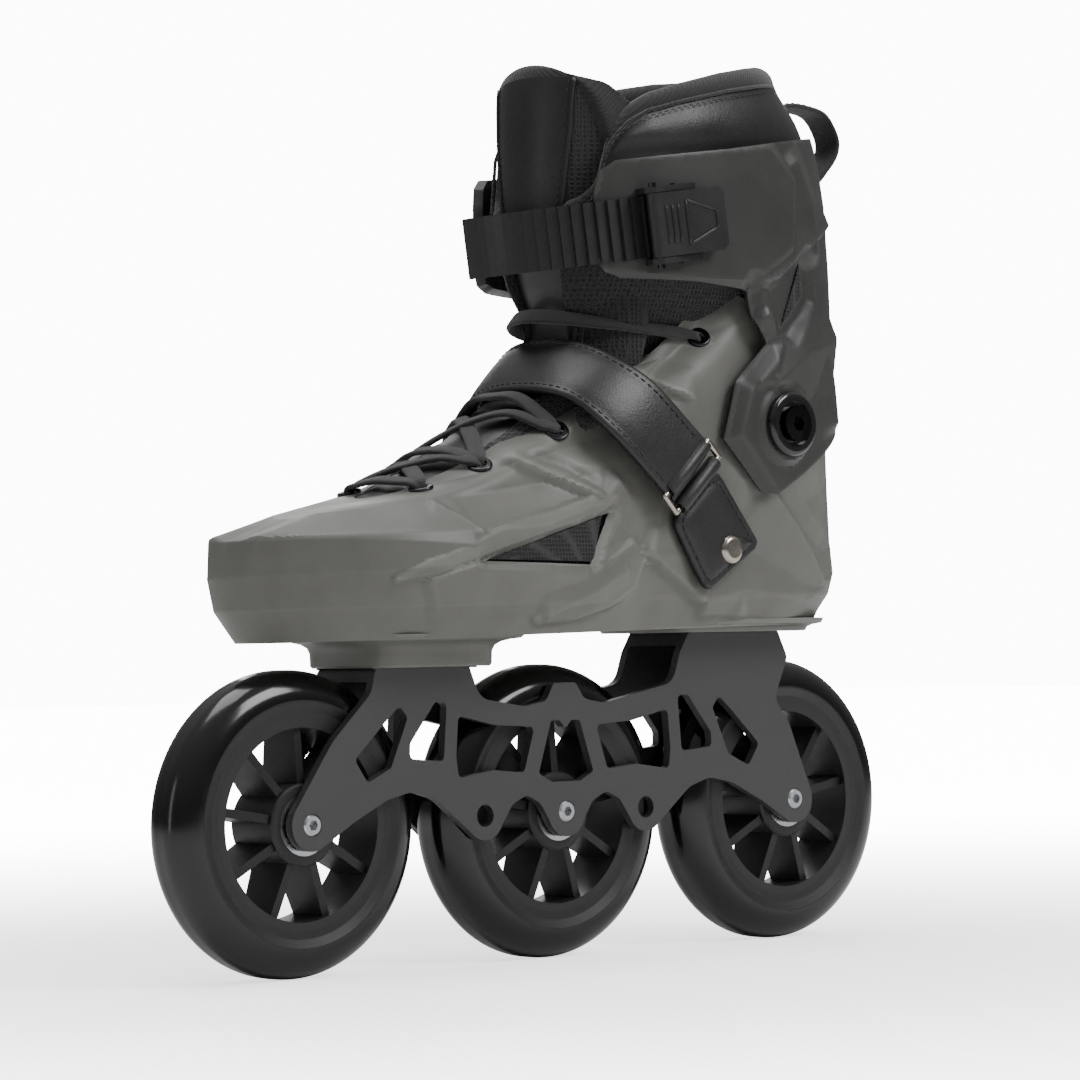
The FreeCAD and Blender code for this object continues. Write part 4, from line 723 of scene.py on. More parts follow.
def cuff_relief(xz):
    raised = [
        panel(xz, [(-4, 296), (-58, 303), (-79, 306), (-95, 294), (-93, 268), (-70, 254), (-41, 254), (-6, 256)], 3.2, 5.5),
        fold(xz, [(-64, 251), (-86, 257), (-106, 270), (-128, 281)], 3.0, 3.0, 14, 0.06),
        fold(xz, [(-80, 214), (-104, 229), (-132, 236)], 3.4, 18, 12, 0.06),
        fold(xz, [(-76, 243), (-84, 228), (-82, 212)], 2.6, 13, 8, 0.1),
        fold(xz, [(-96, 306), (-109, 286), (-112, 262)], 2.6, 16, 9, 0.1),
        fold(xz, [(-114, 234), (-126, 214), (-130, 198)], 2.4, 14, 13, 0.1),
    ]
    front = along_polyline(xz, [(-79, 172), (-58, 194), (-66, 216), (-81, 231), (-73, 240), (-71, 252)])[0]
    sunk = [
        3.8 * np.clip(1 - front / 6.5, 0, 1),
        panel(xz, [(-84, 250), (-103, 266), (-110, 260), (-110, 249), (-94, 234), (-88, 236)], 2.6, 4),
    ]
    return np.maximum.reduce(raised) - np.maximum.reduce(sunk)


ANGLES, ARC = arc_table(255, 0, math.pi - 2.75, math.pi + 2.75)


def cuff_surface(uv):
    """u is the distance round the boot, v the height; raised by the moulded panels."""
    angle = np.interp(uv[:, 0], ARC, ANGLES)
    points = oval(angle, uv[:, 1])
    ahead, behind = oval(angle + 0.004, uv[:, 1]), oval(angle - 0.004, uv[:, 1])
    along = ahead - behind
    normal = np.stack([along[:, 1], -along[:, 0], 0 * along[:, 0]], 1)
    normal /= np.linalg.norm(normal, axis=1, keepdims=True)
    points = points + normal * cuff_relief(points[:, [0, 2]])[:, None]
    gap = np.hypot(points[:, 0] - PIVOT_X, points[:, 2] - PIVOT_Z)
    share = 1 - smooth_step(gap, 13.5, 16.5)
    points[:, 1] += share * (np.sign(points[:, 1]) * CUFF_BOSS_FACE - points[:, 1])
    return points


def make_cuff(material):
    sheet = Sheet(cuff_surface, np.linspace(2, ARC[-1] - 2, 380), np.linspace(168, 318, 132))
    sheet.cut(side_view, CUFF_OUTLINE, keep_inside=True)
    hole = [(PIVOT_X + x, PIVOT_Z + z) for x, z in circle_points(5.1, 24)]
    for side in (1, -1):
        sheet.cut(side_view, CUFF_WINDOW, where=lambda p, side=side: p[:, 1] * side > 15)
        sheet.cut(side_view, hole, where=lambda p, side=side: p[:, 1] * side > 15)
    obj = sheet.mesh("ankle_cuff_shell")
    thicken(obj, 0.0040)
    add_modifier(obj, "BEVEL", width=0.0007, segments=2, limit_method="ANGLE", angle_limit=math.radians(48))
    apply_modifiers(obj)
    assign(obj, material)
    smooth_shading(obj, 26)
    return obj


# ---------------------------------------------------------------- finishes of the moulded and metal pieces

SHELL_GREY = rgb(0.118, 0.118, 0.108)
CUFF_GREY = rgb(0.032, 0.032, 0.031)
shell_mat = plastic("shell_plastic", SHELL_GREY, 0.46, grain=0.25)
cuff_mat = plastic("cuff_plastic", CUFF_GREY, 0.42, grain=0.25)
frame_mat = anodised("frame_black", rgb(0.009, 0.009, 0.0093))
buckle_mat = plastic("buckle_plastic", rgb(0.008, 0.008, 0.008), 0.36)
ladder_mat = plastic("ladder_plastic", rgb(0.006, 0.006, 0.006), 0.36)
core_mat = plastic("core_plastic", rgb(0.010, 0.010, 0.0105), 0.42)
gloss_mat = plastic("gloss_black", rgb(0.006, 0.006, 0.006), 0.1, grain=0.02, specular=0.6)
gunmetal = metal("gunmetal", rgb(0.05, 0.05, 0.052), 0.14)
steel = metal("turned_steel", rgb(0.55, 0.56, 0.58), 0.26, 0.1)
zinc = metal("zinc_steel", rgb(0.42, 0.42, 0.41), 0.36)
brass = metal("shield_brass", rgb(0.55, 0.42, 0.18), 0.3)
nickel = metal("warm_nickel", rgb(0.42, 0.39, 0.34), 0.2)
aluminium = metal("spacer_aluminium", rgb(0.6, 0.6, 0.61), 0.35)
fastener = metal("black_oxide", rgb(0.03, 0.03, 0.03), 0.4)


def screen_material():
    """Black hexagonal mesh cloth: cells sunk between raised threads."""
    m = Mat("screen_mesh")
    cells = m.voronoi(620, "DISTANCE_TO_EDGE", randomness=0.12)
    thread = m.ramp(cells, 0.05, 0.22, 1, 0)
    m.set(Base_Color=m.mix(thread, rgb(0.002, 0.002, 0.002), rgb(0.03, 0.03, 0.031)))
    m.set(Roughness=0.75)
    return m.finish(m.bump(thread, 0.9, 0.0004))


def tyre_material(name):
    """Gloss black tread above a matt side ring with faint moulding lines, by distance from the axle."""
    m = Mat(name)
    split = m.node("ShaderNodeSeparateXYZ", {"Vector": m.coords.outputs["Object"]})
    along = m.math("FLOORED_MODULO", m.math("ADD", split.outputs[0], 0.06075 + 0.243), 0.1215)
    x, z = m.math("SUBTRACT", along, 0.06075), m.math("SUBTRACT", split.outputs[2], 0.055)
    radius = m.math("SQRT", m.math("ADD", m.math("MULTIPLY", x, x), m.math("MULTIPLY", z, z)))
    tread = m.ramp(radius, 0.0438, 0.0447)
    rings = m.math("SINE", m.math("MULTIPLY", radius, 9000.0))
    smudge = m.noise(40, 4)
    scuff = m.ramp(m.noise(300, 3, 0.7), 0.6, 0.75)
    m.set(Base_Color=m.mix(tread, rgb(0.010, 0.010, 0.0103), rgb(0.0035, 0.0035, 0.0037)))
    rough_tread = m.ramp(smudge, 0.3, 0.7, 0.1, 0.2)
    rough_side = m.ramp(smudge, 0.3, 0.7, 0.45, 0.56)
    blend = m.node("ShaderNodeMix", data_type="FLOAT")
    m.put(blend.inputs[0], tread)
    m.put(blend.inputs[2], rough_side)
    m.put(blend.inputs[3], m.math("ADD", rough_tread, m.math("MULTIPLY", scuff, 0.05)))
    m.set(Roughness=blend.outputs[0])
    lines = m.math("MULTIPLY", rings, m.math("SUBTRACT", 1.0, tread))
    return m.finish(m.bump(lines, 0.12, 0.0001))


screen_mat = screen_material()
tyre_mat = tyre_material("tyre_urethane")
WHEELS = ("front", "middle", "rear")


def paint(material, width, *names, angle=35, segments=2):
    """A finish and small rounded edges on CAD nodes."""
    for name in names:
        node = NODES[name]
        node.data.materials.clear()
        node.data.materials.append(material)
        if width:
            bevel = add_modifier(node, "BEVEL", width=width * MM, segments=segments, limit_method="ANGLE")
            bevel.angle_limit = math.radians(angle)
            bevel.harden_normals = False


def each(pattern):
    return [pattern.format(w) for w in WHEELS]


paint(frame_mat, 0.45, "frame")
paint(tyre_mat, 0, *each("tyre_{}"))
paint(core_mat, 0.4, *each("core_{}"))
paint(steel, 0.15, *each("bearing_outer_races_{}"), *each("bearing_inner_races_{}"))
paint(steel, 0, *each("bearing_balls_{}"))
paint(brass, 0, *each("bearing_shields_{}"))
paint(aluminium, 0.1, *each("bearing_spacer_{}"))
paint(steel, 0.2, *each("axle_{}"), "axle_washers")
paint(zinc, 0.3, "mounting_bolts", "mounting_washers", "mounting_nuts", "pivot_nuts", "pawl_springs")
paint(gunmetal, 0.15, "eyelets", "buckle_pins", "pivot_bolts")
paint(gloss_mat, 0.2, "pivot_caps")
paint(fastener, 0.2, "ladder_screw", "buckle_rivets")
paint(nickel, 0.1, "strap_ring", "strap_rivets")
paint(buckle_mat, 0.35, "buckle_base", "buckle_lever", "lock_pawl")
paint(ladder_mat, 0.2, "ladder_strap")
paint(screen_mat, 0, "vent_meshes", "cuff_vent_meshes")

boot_shell = add_piece(make_shell(shell_mat, shell_mat), "boot", ["shell"])
ankle_cuff_shell = add_piece(make_cuff(cuff_mat), "ankle_cuff", ["cuff"])


# ---------------------------------------------------------------- mounting blocks under the sole


def sole_block(x0, x1, half, bottom, flare):
    """A block under the sole, round at its corners, that spreads in a cove where it meets the sole."""
    rings = []
    for z, grow in flare:
        outline = []
        for cx, cy, start in ((x1 - 9, half - 9, 0), (x0 + 9, half - 9, 90), (x0 + 9, 9 - half, 180), (x1 - 9, 9 - half, 270)):
            for i in range(9):
                a = math.radians(start + 90 * i / 8)
                outline.append((cx + (9 + grow) * math.cos(a), cy + (9 + grow) * math.sin(a), bottom + z))
        rings.append(outline)
    middle = np.array([(x0 + x1) / 2, 0, bottom])
    first = np.array(rings[0])
    for share in (0.96, 0.5, 0.05):
        rings.insert(0, (middle + (first - middle) * share).tolist())
    return np.array(rings)


def make_sole_blocks(material):
    front = sole_block(38.5, 93, 25, 110, [(0, -0.8), (0.8, 0), (5.5, 0.2), (7.5, 1.2), (8.8, 3.5), (9.6, 7), (10.0, 11), (12, 13)])
    rear = sole_block(-126, -52, 25, 121, [(0, -0.6), (0.6, 0), (1.6, 0.5), (2.4, 2.5), (3, 6), (5, 7)])
    parts = [grid_mesh("block", g, wrap=True, cap=True, materials=[material]) for g in (front, rear)]
    for part in parts:
        fix_normals(part)
    obj = join_objects("sole_blocks", parts)
    smooth_shading(obj, 40)
    return obj


def make_serrated_shims(material):
    """Thin grip plates between each mounting block and the frame, toothed along their edges."""
    parts = []
    for x0, x1, top, half in ((43.5, 92, 110, 16.5), (-113, -65, 121, 16.5)):
        count = int((x1 - x0) / 1.2)
        for side in (1, -1):
            rows = []
            for i in range(count * 2 + 1):
                x = x0 + (x1 - x0) * i / (count * 2)
                y = side * (half + 0.25 + (0.35 if i % 2 else 0))
                rows.append([(x, side * (half - 1.0), top - 0.55), (x, y, top - 0.55), (x, y, top + 0.15), (x, side * (half - 1.0), top + 0.15)])
            parts.append(grid_mesh("shim", np.array(rows, float), wrap=True, cap=True, materials=[material]))
    for part in parts:
        fix_normals(part)
        for polygon in part.data.polygons:
            polygon.use_smooth = False
    return join_objects("grip_shims", parts)


# ---------------------------------------------------------------- helpers for soft goods


def grid_mesh(name, grid, wrap=False, cap=False, materials=(), material_of=None):
    """A mesh from rows x columns points in mm; wrap joins the last column to the first, cap closes both end rows."""
    rows, columns, _ = grid.shape
    faces, kinds = [], []
    for j in range(rows - 1):
        for i in range(columns if wrap else columns - 1):
            k = (i + 1) % columns
            faces.append((j * columns + i, j * columns + k, (j + 1) * columns + k, (j + 1) * columns + i))
            kinds.append(material_of(j, i) if material_of else 0)
    if cap:
        faces.append(tuple(range(columns - 1, -1, -1)))
        faces.append(tuple((rows - 1) * columns + i for i in range(columns)))
        kinds += [kinds[0], kinds[-1]]
    data = bpy.data.meshes.new(name)
    data.from_pydata((grid.reshape(-1, 3) * MM).tolist(), [], faces)
    obj = bpy.data.objects.new(name, data)
    bpy.context.scene.collection.objects.link(obj)
    for material in materials:
        data.materials.append(material)
    data.polygons.foreach_set("material_index", kinds)
    down = np.concatenate([[0], np.cumsum(np.linalg.norm(np.diff(grid.mean(axis=1), axis=0), axis=1))])
    middle = grid[rows // 2]
    across = np.concatenate([[0], np.cumsum(np.linalg.norm(np.diff(np.concatenate([middle, middle[:1]]), axis=0), axis=1))])
    layer = data.uv_layers.new(name="UVMap")
    loops = []
    for j in range(rows - 1):
        for i in range(columns if wrap else columns - 1):
            loops += [(across[i], down[j]), (across[i + 1], down[j]), (across[i + 1], down[j + 1]), (across[i], down[j + 1])]
    if cap:
        loops += [(0.0, 0.0)] * (2 * columns)
    layer.data.foreach_set("uv", (np.array(loops) * MM).ravel())
    for polygon in data.polygons:
        polygon.use_smooth = True
    return obj


def fix_normals(obj):
    bm = bmesh.new()
    bm.from_mesh(obj.data)
    bmesh.ops.recalc_face_normals(bm, faces=bm.faces)
    bm.to_mesh(obj.data)
    bm.free()


def spline(points, count):
    """A smooth curve (Catmull-Rom) through the points, evenly resampled; also its unit tangents."""
    p = np.array(points, float)
    p = np.concatenate([[2 * p[0] - p[1]], p, [2 * p[-1] - p[-2]]])
    fine = []
    for i in range(1, len(p) - 2):
        for t in np.linspace(0, 1, 24, endpoint=False):
            fine.append(0.5 * (2 * p[i] + (p[i + 1] - p[i - 1]) * t + (2 * p[i - 1] - 5 * p[i] + 4 * p[i + 1] - p[i + 2]) * t * t
                               + (3 * p[i] - p[i - 1] - 3 * p[i + 1] + p[i + 2]) * t ** 3))
    fine.append(p[-2])
    path = resample_line(fine, count)
    tangent = np.gradient(path, axis=0)
    return path, tangent / np.linalg.norm(tangent, axis=1, keepdims=True)


def unit(v):
    return v / np.maximum(np.linalg.norm(v, axis=-1, keepdims=True), 1e-9)


def rounded_section(width, thickness, count=4):
    """A flat section with round ends: (across, out) pairs."""
    points = []
    r = thickness / 2
    for side, start in ((1, -90), (-1, 90)):
        for i in range(count + 1):
            a = math.radians(start + 180 * i / count)
            points.append((side * (width / 2 - r) + r * math.cos(a), r * math.sin(a)))
    return points


def band(name, path, normals, width, thickness, material, taper=0, section=None):
    """A flat band along a path, lying square to the given normals."""
    tangent = unit(np.gradient(path, axis=0))
    across = unit(np.cross(normals, tangent))
    out = unit(np.cross(tangent, across))
    profile = np.array(section or rounded_section(width, thickness))
    grid = path[:, None, :] + across[:, None, :] * profile[None, :, :1] + out[:, None, :] * profile[None, :, 1:]
    obj = grid_mesh(name, grid, wrap=True, cap=True, materials=[material])
    fix_normals(obj)
    return obj


def join_objects(name, parts):
    """One object from several that share their materials' order."""
    bm = bmesh.new()
    for part in parts:
        bm.from_mesh(part.data)
    data = bpy.data.meshes.new(name)
    bm.to_mesh(data)
    bm.free()
    for material in parts[0].data.materials:
        data.materials.append(material)
    obj = bpy.data.objects.new(name, data)
    bpy.context.scene.collection.objects.link(obj)
    for part in parts:
        bpy.data.objects.remove(part)
    return obj


def stitches(name, runs, pitch, length, radius, material):
    """Rows of single stitches: small pinched threads lying on the surface along each run of points and normals."""
    verts, faces = [], []
    for path, normals in runs:
        far = np.concatenate([[0], np.cumsum(np.linalg.norm(np.diff(path, axis=0), axis=1))])
        count = int(far[-1] // pitch)
        for i in range(count):
            middle = (i + 0.5) * far[-1] / count
            spots = [np.array([np.interp(middle + o, far, path[:, k]) for k in range(3)]) for o in (-length / 2, length / 2)]
            up = unit(np.array([np.interp(middle, far, normals[:, k]) for k in range(3)]))
            along = unit(spots[1] - spots[0])
            side = np.cross(up, along)
            base = len(verts)
            for share, swell in ((0.0, 0.35), (0.2, 0.95), (0.5, 1.0), (0.8, 0.95), (1.0, 0.35)):
                lift = radius * (0.55 - 1.1 * abs(share - 0.5) ** 2 * 2)
                centre = spots[0] + (spots[1] - spots[0]) * share + up * lift
                for a in range(6):
                    angle = math.pi * a / 3
                    verts.append(centre + (side * math.cos(angle) + up * math.sin(angle)) * radius * swell)
            for ring in range(4):
                for a in range(6):
                    b = (a + 1) % 6
                    faces.append((base + ring * 6 + a, base + ring * 6 + b, base + ring * 6 + 6 + b, base + ring * 6 + 6 + a))
            faces.append(tuple(base + a for a in range(5, -1, -1)))
            faces.append(tuple(base + 24 + a for a in range(6)))
    data = bpy.data.meshes.new(name)
    data.from_pydata((np.array(verts) * MM).tolist(), [], faces)
    for polygon in data.polygons:
        polygon.use_smooth = True
    obj = bpy.data.objects.new(name, data)
    bpy.context.scene.collection.objects.link(obj)
    assign(obj, material)
    return obj


def inflate(obj, held, pressure=4.0, frames=16, reach=0.004):
    """Fills padding by a short cloth simulation: held is 1 where the cover is fixed, 0 where it may swell."""
    group = obj.vertex_groups.new(name="held")
    for i, weight in enumerate(held):
        if weight > 0:
            group.add([i], float(weight), "REPLACE")
    before = np.array([v.co for v in obj.data.vertices])
    cloth = obj.modifiers.new("Cloth", "CLOTH")
    settings = cloth.settings
    settings.quality = 6
    settings.mass = 0.3
    settings.tension_stiffness = settings.compression_stiffness = 40
    settings.shear_stiffness = 20
    settings.bending_stiffness = 1.5
    settings.use_pressure = True
    settings.uniform_pressure_force = pressure
    settings.vertex_group_mass = "held"
    settings.effector_weights.gravity = 0
    cloth.collision_settings.use_collision = False
    cloth.collision_settings.use_self_collision = False
    cloth.point_cache.frame_start, cloth.point_cache.frame_end = 1, frames
    scene = bpy.context.scene
    for number in range(1, frames + 1):
        scene.frame_set(number)
    evaluated = obj.evaluated_get(bpy.context.evaluated_depsgraph_get())
    after = np.array([v.co for v in evaluated.data.vertices])
    obj.modifiers.remove(cloth)
    scene.frame_set(1)
    if not np.isfinite(after).all():
        return
    move = after - before
    length = np.linalg.norm(move, axis=1, keepdims=True)
    move *= np.minimum(1, reach / np.maximum(length, 1e-9))
    obj.data.vertices.foreach_set("co", (before + move).ravel())
    obj.data.update()


# ---------------------------------------------------------------- fabrics


def leather_material(name, color):
    """Black synthetic leather: fine pebble grain over soft wrinkles."""
    m = Mat(name)
    smudge = m.noise(30, 4)
    base = m.mix(m.ramp(smudge, 0.3, 0.7), shade(color, 0.8), shade(color, 1.25))
    m.set(Base_Color=base)
    m.set(Roughness=m.ramp(smudge, 0.3, 0.7, 0.36, 0.47))
    pebble = m.voronoi(1500, "SMOOTH_F1")
    wrinkle = m.noise(120, 4, 0.6)
    normal = m.bump(wrinkle, 0.16, 0.0008)
    return m.finish(m.bump(pebble, 0.32, 0.00018, normal))


def mesh_fabric(name):
    """Black spacer mesh: a honeycomb of sunk cells."""
    m = Mat(name)
    cells = m.voronoi(560, "DISTANCE_TO_EDGE", randomness=0.16)
    thread = m.ramp(cells, 0.06, 0.26, 1, 0)
    m.set(Base_Color=m.mix(thread, rgb(0.0025, 0.0025, 0.0027), rgb(0.017, 0.017, 0.0175)))
    m.set(Roughness=0.85, Sheen_Weight=0.2)
    fuzz = m.noise(3000, 2, 0.7)
    normal = m.bump(fuzz, 0.2, 0.0001)
    return m.finish(m.bump(thread, 0.8, 0.0004, normal))


def knit_material(name, color, scale=2600):
    """Ribbed knit binding: short slanted loops."""
    m = Mat(name)
    waves = m.node("ShaderNodeTexWave", {"Vector": m.coords.outputs["Object"]}, bands_direction="DIAGONAL")
    waves.inputs["Scale"].default_value = scale / 6
    waves.inputs["Distortion"].default_value = 1.2
    waves.inputs["Detail Scale"].default_value = 3
    fuzz = m.noise(scale, 3, 0.7)
    m.set(Base_Color=m.mix(waves.outputs[0], shade(color, 0.55), shade(color, 1.2)))
    m.set(Roughness=0.9, Sheen_Weight=0.25)
    normal = m.bump(fuzz, 0.35, 0.00015)
    return m.finish(m.bump(waves.outputs[0], 0.5, 0.00025, normal))


def woven_material(name, color, across=1100, along=700):
    """Woven webbing or braid, by the band's own UV in metres."""
    m = Mat(name)
    uv = m.node("ShaderNodeUVMap").outputs[0]
    split = m.node("ShaderNodeSeparateXYZ", {"Vector": uv})
    u, v = split.outputs[0], split.outputs[1]
    a = m.math("SINE", m.math("MULTIPLY", m.math("ADD", u, v), across * 5.0))
    b = m.math("SINE", m.math("MULTIPLY", m.math("SUBTRACT", u, v), along * 7.0))
    weave = m.math("MULTIPLY", m.math("ADD", m.math("MULTIPLY", a, b), 1.0), 0.5)
    fuzz = m.noise(2500, 3, 0.7)
    m.set(Base_Color=m.mix(weave, shade(color, 0.45), shade(color, 1.3)))
    m.set(Roughness=0.88, Sheen_Weight=0.2)
    normal = m.bump(fuzz, 0.3, 0.00012)
    return m.finish(m.bump(weave, 0.6, 0.0003, normal))


def thread_material(name, color):
    m = Mat(name)
    twist = m.noise(4000, 2, 0.6)
    m.set(Base_Color=m.mix(twist, shade(color, 0.6), shade(color, 1.4)), Roughness=0.7)
    return m.finish(m.bump(twist, 0.3, 0.00008))


leather_mat = leather_material("leather_black", rgb(0.011, 0.011, 0.0112))
collar_leather_mat = leather_material("collar_leather", rgb(0.011, 0.011, 0.0112))
fabric_mat = mesh_fabric("spacer_mesh")
knit_mat = knit_material("knit_binding", rgb(0.013, 0.013, 0.0135))
webbing_mat = woven_material("webbing_black", rgb(0.016, 0.016, 0.0165))
lace_mat = woven_material("lace_braid", rgb(0.018, 0.018, 0.0185), 1500, 900)
thread_mat = thread_material("stitch_thread", rgb(0.02, 0.02, 0.02))
insole_mat = knit_material("insole_felt", rgb(0.03, 0.03, 0.031), 1800)


# ---------------------------------------------------------------- liner, tongue and collar

RIM = np.array([(-3, 284), (-9, 290), (-12, 305), (-15, 313), (-21, 319.5), (-29, 324), (-45, 328.5), (-71, 334.3), (-90, 337.5), (-105, 339.5),
                (-120, 340), (-150, 339)], float)
COLLAR_THICK = 9.5


def collar_inset(level, angle):
    """How far the liner lies inside the cuff's outside."""
    front = smooth_step(np.cos(angle), -0.55, -0.1)
    low = 11.5 - 6.2 * smooth_step(level, 243, 280) + 9.5 * front * (1 - smooth_step(level, 226, 256))
    rear = smooth_step(-np.cos(angle), 0.2, 0.95)
    return low + 8.5 * smooth_step(level, 304, 341) ** 1.3 * (0.25 + 0.75 * rear)


def make_collar():
    """The padded liner wall from inside the boot up to the rolled rim, open at the front."""
    angles, far = arc_table(290, 5, math.pi - 2.78, math.pi + 2.78)
    stations = np.linspace(0, far[-1], 150)
    at = np.interp(stations, far, angles)
    rows = []
    for angle, along in zip(at, stations):
        x = float(oval(np.array([angle]), 290.0, 5)[0, 0])
        top = float(np.interp(-x, -RIM[:, 0], RIM[:, 1]))
        edge = min(along, far[-1] - along)
        thick = COLLAR_THICK * math.sqrt(1 - (1 - min(1, (edge + 0.05) / 6.0)) ** 2)
        top -= 9 * (1 - min(1, edge / 7.0)) ** 2
        outer_levels = 214 + (top - thick / 2 - 214) * np.linspace(0, 1, 40) ** 0.8
        inset = collar_inset(outer_levels, angle)
        puff = 1.5 * np.sin(math.pi * np.clip((outer_levels - 303) / max(top - 9 - 303, 1), 0, 1))
        outer = oval(np.full(40, angle), outer_levels, inset - puff)
        inward = unit(oval(np.array([angle]), 300.0, 30)[0] - oval(np.array([angle]), 300.0, 5)[0])
        arc = []
        for i in range(1, 8):
            turn = math.pi * i / 8
            arc.append(outer[-1] + inward * (thick / 2) * (1 - math.cos(turn)) + np.array([0, 0, thick / 2 * math.sin(turn) * 1.1]))
        inner = (outer + inward * thick)[::-1]
        rows.append(np.concatenate([outer, np.array(arc), inner]))
    grid = np.array(rows)
    columns = grid.shape[1]

    def kind(j, i):
        edge = min(stations[j], far[-1] - stations[j])
        level = grid[j, i, 2]
        if i >= columns - 39 or level < 268:
            return 1
        return 2 if 38 <= i <= 49 or edge < 5.5 else 0

    obj = grid_mesh("liner_collar_pad", grid, wrap=True, cap=True, materials=[collar_leather_mat, fabric_mat, knit_mat], material_of=kind)
    fix_normals(obj)
    levels = grid.reshape(-1, 3)[:, 2]
    held = np.clip((306 - levels) / 6, 0, 1)
    column_number = np.tile(np.arange(columns), len(rows))
    held = np.maximum(held, ((column_number >= 34) & (column_number <= 37)) * 0.9)
    inflate(obj, held, 5.0, 16, 0.0022)
    add_modifier(obj, "SUBSURF", levels=1, render_levels=1)
    apply_modifiers(obj)
    return obj, grid


def make_piping(grid):
    """The welt between the collar's outer panel and its knitted rim."""
    path = grid[6:-6, 38]
    centre = grid[6:-6].mean(axis=1)
    out = unit((path - centre) * np.array([1, 1, 0]))
    path = path + out * 1.0
    return band("collar_piping", path, out, 1.5, 1.4, knit_mat), stitches(
        "collar_stitches", [(grid[8:-8, 37] + out[2:-2] * 1.6, out[2:-2])], 3.0, 2.0, 0.28, thread_mat)


TONGUE = [
    # centre line x, z; half width; how far the edges lie behind the middle
    (-3.5, 337, 32, 31), (-0.2, 335, 32.5, 32), (1.6, 327, 33, 33), (2.5, 310, 32.5, 34), (2.5, 290, 31.5, 35), (0.5, 270, 31.5, 34),
    (-4, 253, 31, 31), (-9, 239, 30, 27), (-7, 228.5, 29, 24), (2, 219, 28, 20), (15, 208.5, 27, 16), (34, 195, 25.5, 13), (54, 184.5, 21.5, 9.5),
    (66, 179.3, 17.5, 7), (76, 175, 13, 5), (84, 171.6, 7, 2.5),
]
TONGUE_THICK = 7.0


def tongue_frames(count):
    """Centre points, forward normals, half widths and depths along the tongue from its top."""
    table = np.array(TONGUE, float)
    dense, _ = spline(np.column_stack([table, np.zeros(len(table))])[:, :3], 400)
    far = np.concatenate([[0], np.cumsum(np.linalg.norm(np.diff(dense[:, :2], axis=0), axis=1))])
    keys = [int(np.argmin(np.hypot(dense[:, 0] - r[0], dense[:, 1] - r[1]))) for r in table]
    at = np.linspace(0, far[-1], count)
    x, z = np.interp(at, far, dense[:, 0]), np.interp(at, far, dense[:, 1])
    width = np.interp(at, far[keys], table[:, 2])
    depth = np.interp(at, far[keys], table[:, 3])
    centre = np.stack([x, 0 * x, z], 1)
    tangent = unit(np.gradient(centre, axis=0))
    normal = np.stack([-tangent[:, 2], 0 * x, tangent[:, 0]], 1)
    return centre, normal, width, depth, at


def make_tongue():
    centre, normal, width, depth, at = tongue_frames(110)
    phis = np.linspace(-88, 88, 61) * math.pi / 180
    outer, inner = [], []
    for c, n, w, d, s in zip(centre, normal, width, depth, at):
        edge = np.clip((math.pi / 2 - np.abs(phis)) / 0.16, 0, 1)
        ends = math.sqrt(1 - (1 - min(1, (min(s, at[-1] - s) + 0.02) / 4.5)) ** 2)
        thick = TONGUE_THICK * np.sqrt(1 - (1 - edge) ** 2) * ends + 0.05
        across = np.sin(phis) * w
        back = (1 - np.cos(phis)) * d
        skin = c + np.outer(across, [0, 1, 0]) - np.outer(back, n)
        skin[:, 2] -= smooth_step(np.abs(phis), 1.0, 1.57) * 8 * (1 - smooth_step(s, 0, 55))
        toward = np.outer(-np.sin(phis) * d * 0.9, [0, 1, 0]) - np.outer(np.cos(phis) * w, n)
        toward = unit(toward)
        outer.append(skin - toward * 0.0)
        inner.append(skin + toward * thick[:, None])
    outer, inner = np.array(outer), np.array(inner)
    grid = np.concatenate([outer, inner[:, ::-1]], axis=1)
    half = outer.shape[1]

    def kind(j, i):
        if i >= half - 1:
            return 1
        y, s = grid[j, i, 1], at[j]
        if s < 7.5 or abs(phis[i]) > 1.42 and s < 60:
            return 2
        return 0 if abs(y) < np.interp(s, [0, 30, 60, 200], [21.5, 20, 16.5, 15]) else 1

    obj = grid_mesh("tongue_pad", grid, wrap=True, cap=True, materials=[leather_mat, fabric_mat, knit_mat], material_of=kind)
    fix_normals(obj)
    held = np.zeros((len(at), grid.shape[1]))
    y = grid[:, :, 1]
    seam = np.interp(at, [0, 30, 60, 200], [21.5, 20, 16.5, 15])[:, None]
    held = np.maximum(held, np.clip(1 - np.abs(np.abs(y) - seam) / 2.5, 0, 1))
    held[:, half - 3:] = 1
    held[:, :3] = 1
    held[:3] = 1
    held = np.maximum(held, smooth_step(at, 118, 135)[:, None])
    inflate(obj, held.ravel(), 4.0, 14, 0.0018)
    add_modifier(obj, "SUBSURF", levels=1, render_levels=1)
    apply_modifiers(obj)
    return obj, outer, phis, at, normal


def make_tongue_trim(outer, phis, at):
    """Welts down both edges of the tongue's middle panel, with a stitch line beside each."""
    parts, runs = [], []
    for side in (1, -1):
        path, out = [], []
        for j in range(4, 70):
            seam = np.interp(at[j], [0, 30, 60, 200], [21.5, 20, 16.5, 15]) * side
            order = np.argsort(outer[j, :, 1])
            path.append([np.interp(seam, outer[j, order, 1], outer[j, order, k]) for k in range(3)])
            phi = np.interp(seam, outer[j, order, 1], phis[order])
            out.append([math.cos(phi), math.sin(phi), 0.1])
        path, out = np.array(path), unit(np.array(out))
        parts.append(band("tongue_welt", path + out * 0.4, out, 1.8, 1.5, leather_mat))
        beside = path + out * 1.1 + np.array([0, -side * 2.6, 0]) + out * 0.35
        runs.append((beside, out))
    return join_objects("tongue_welts", parts), stitches("tongue_stitches", runs, 3.0, 2.1, 0.26, thread_mat)


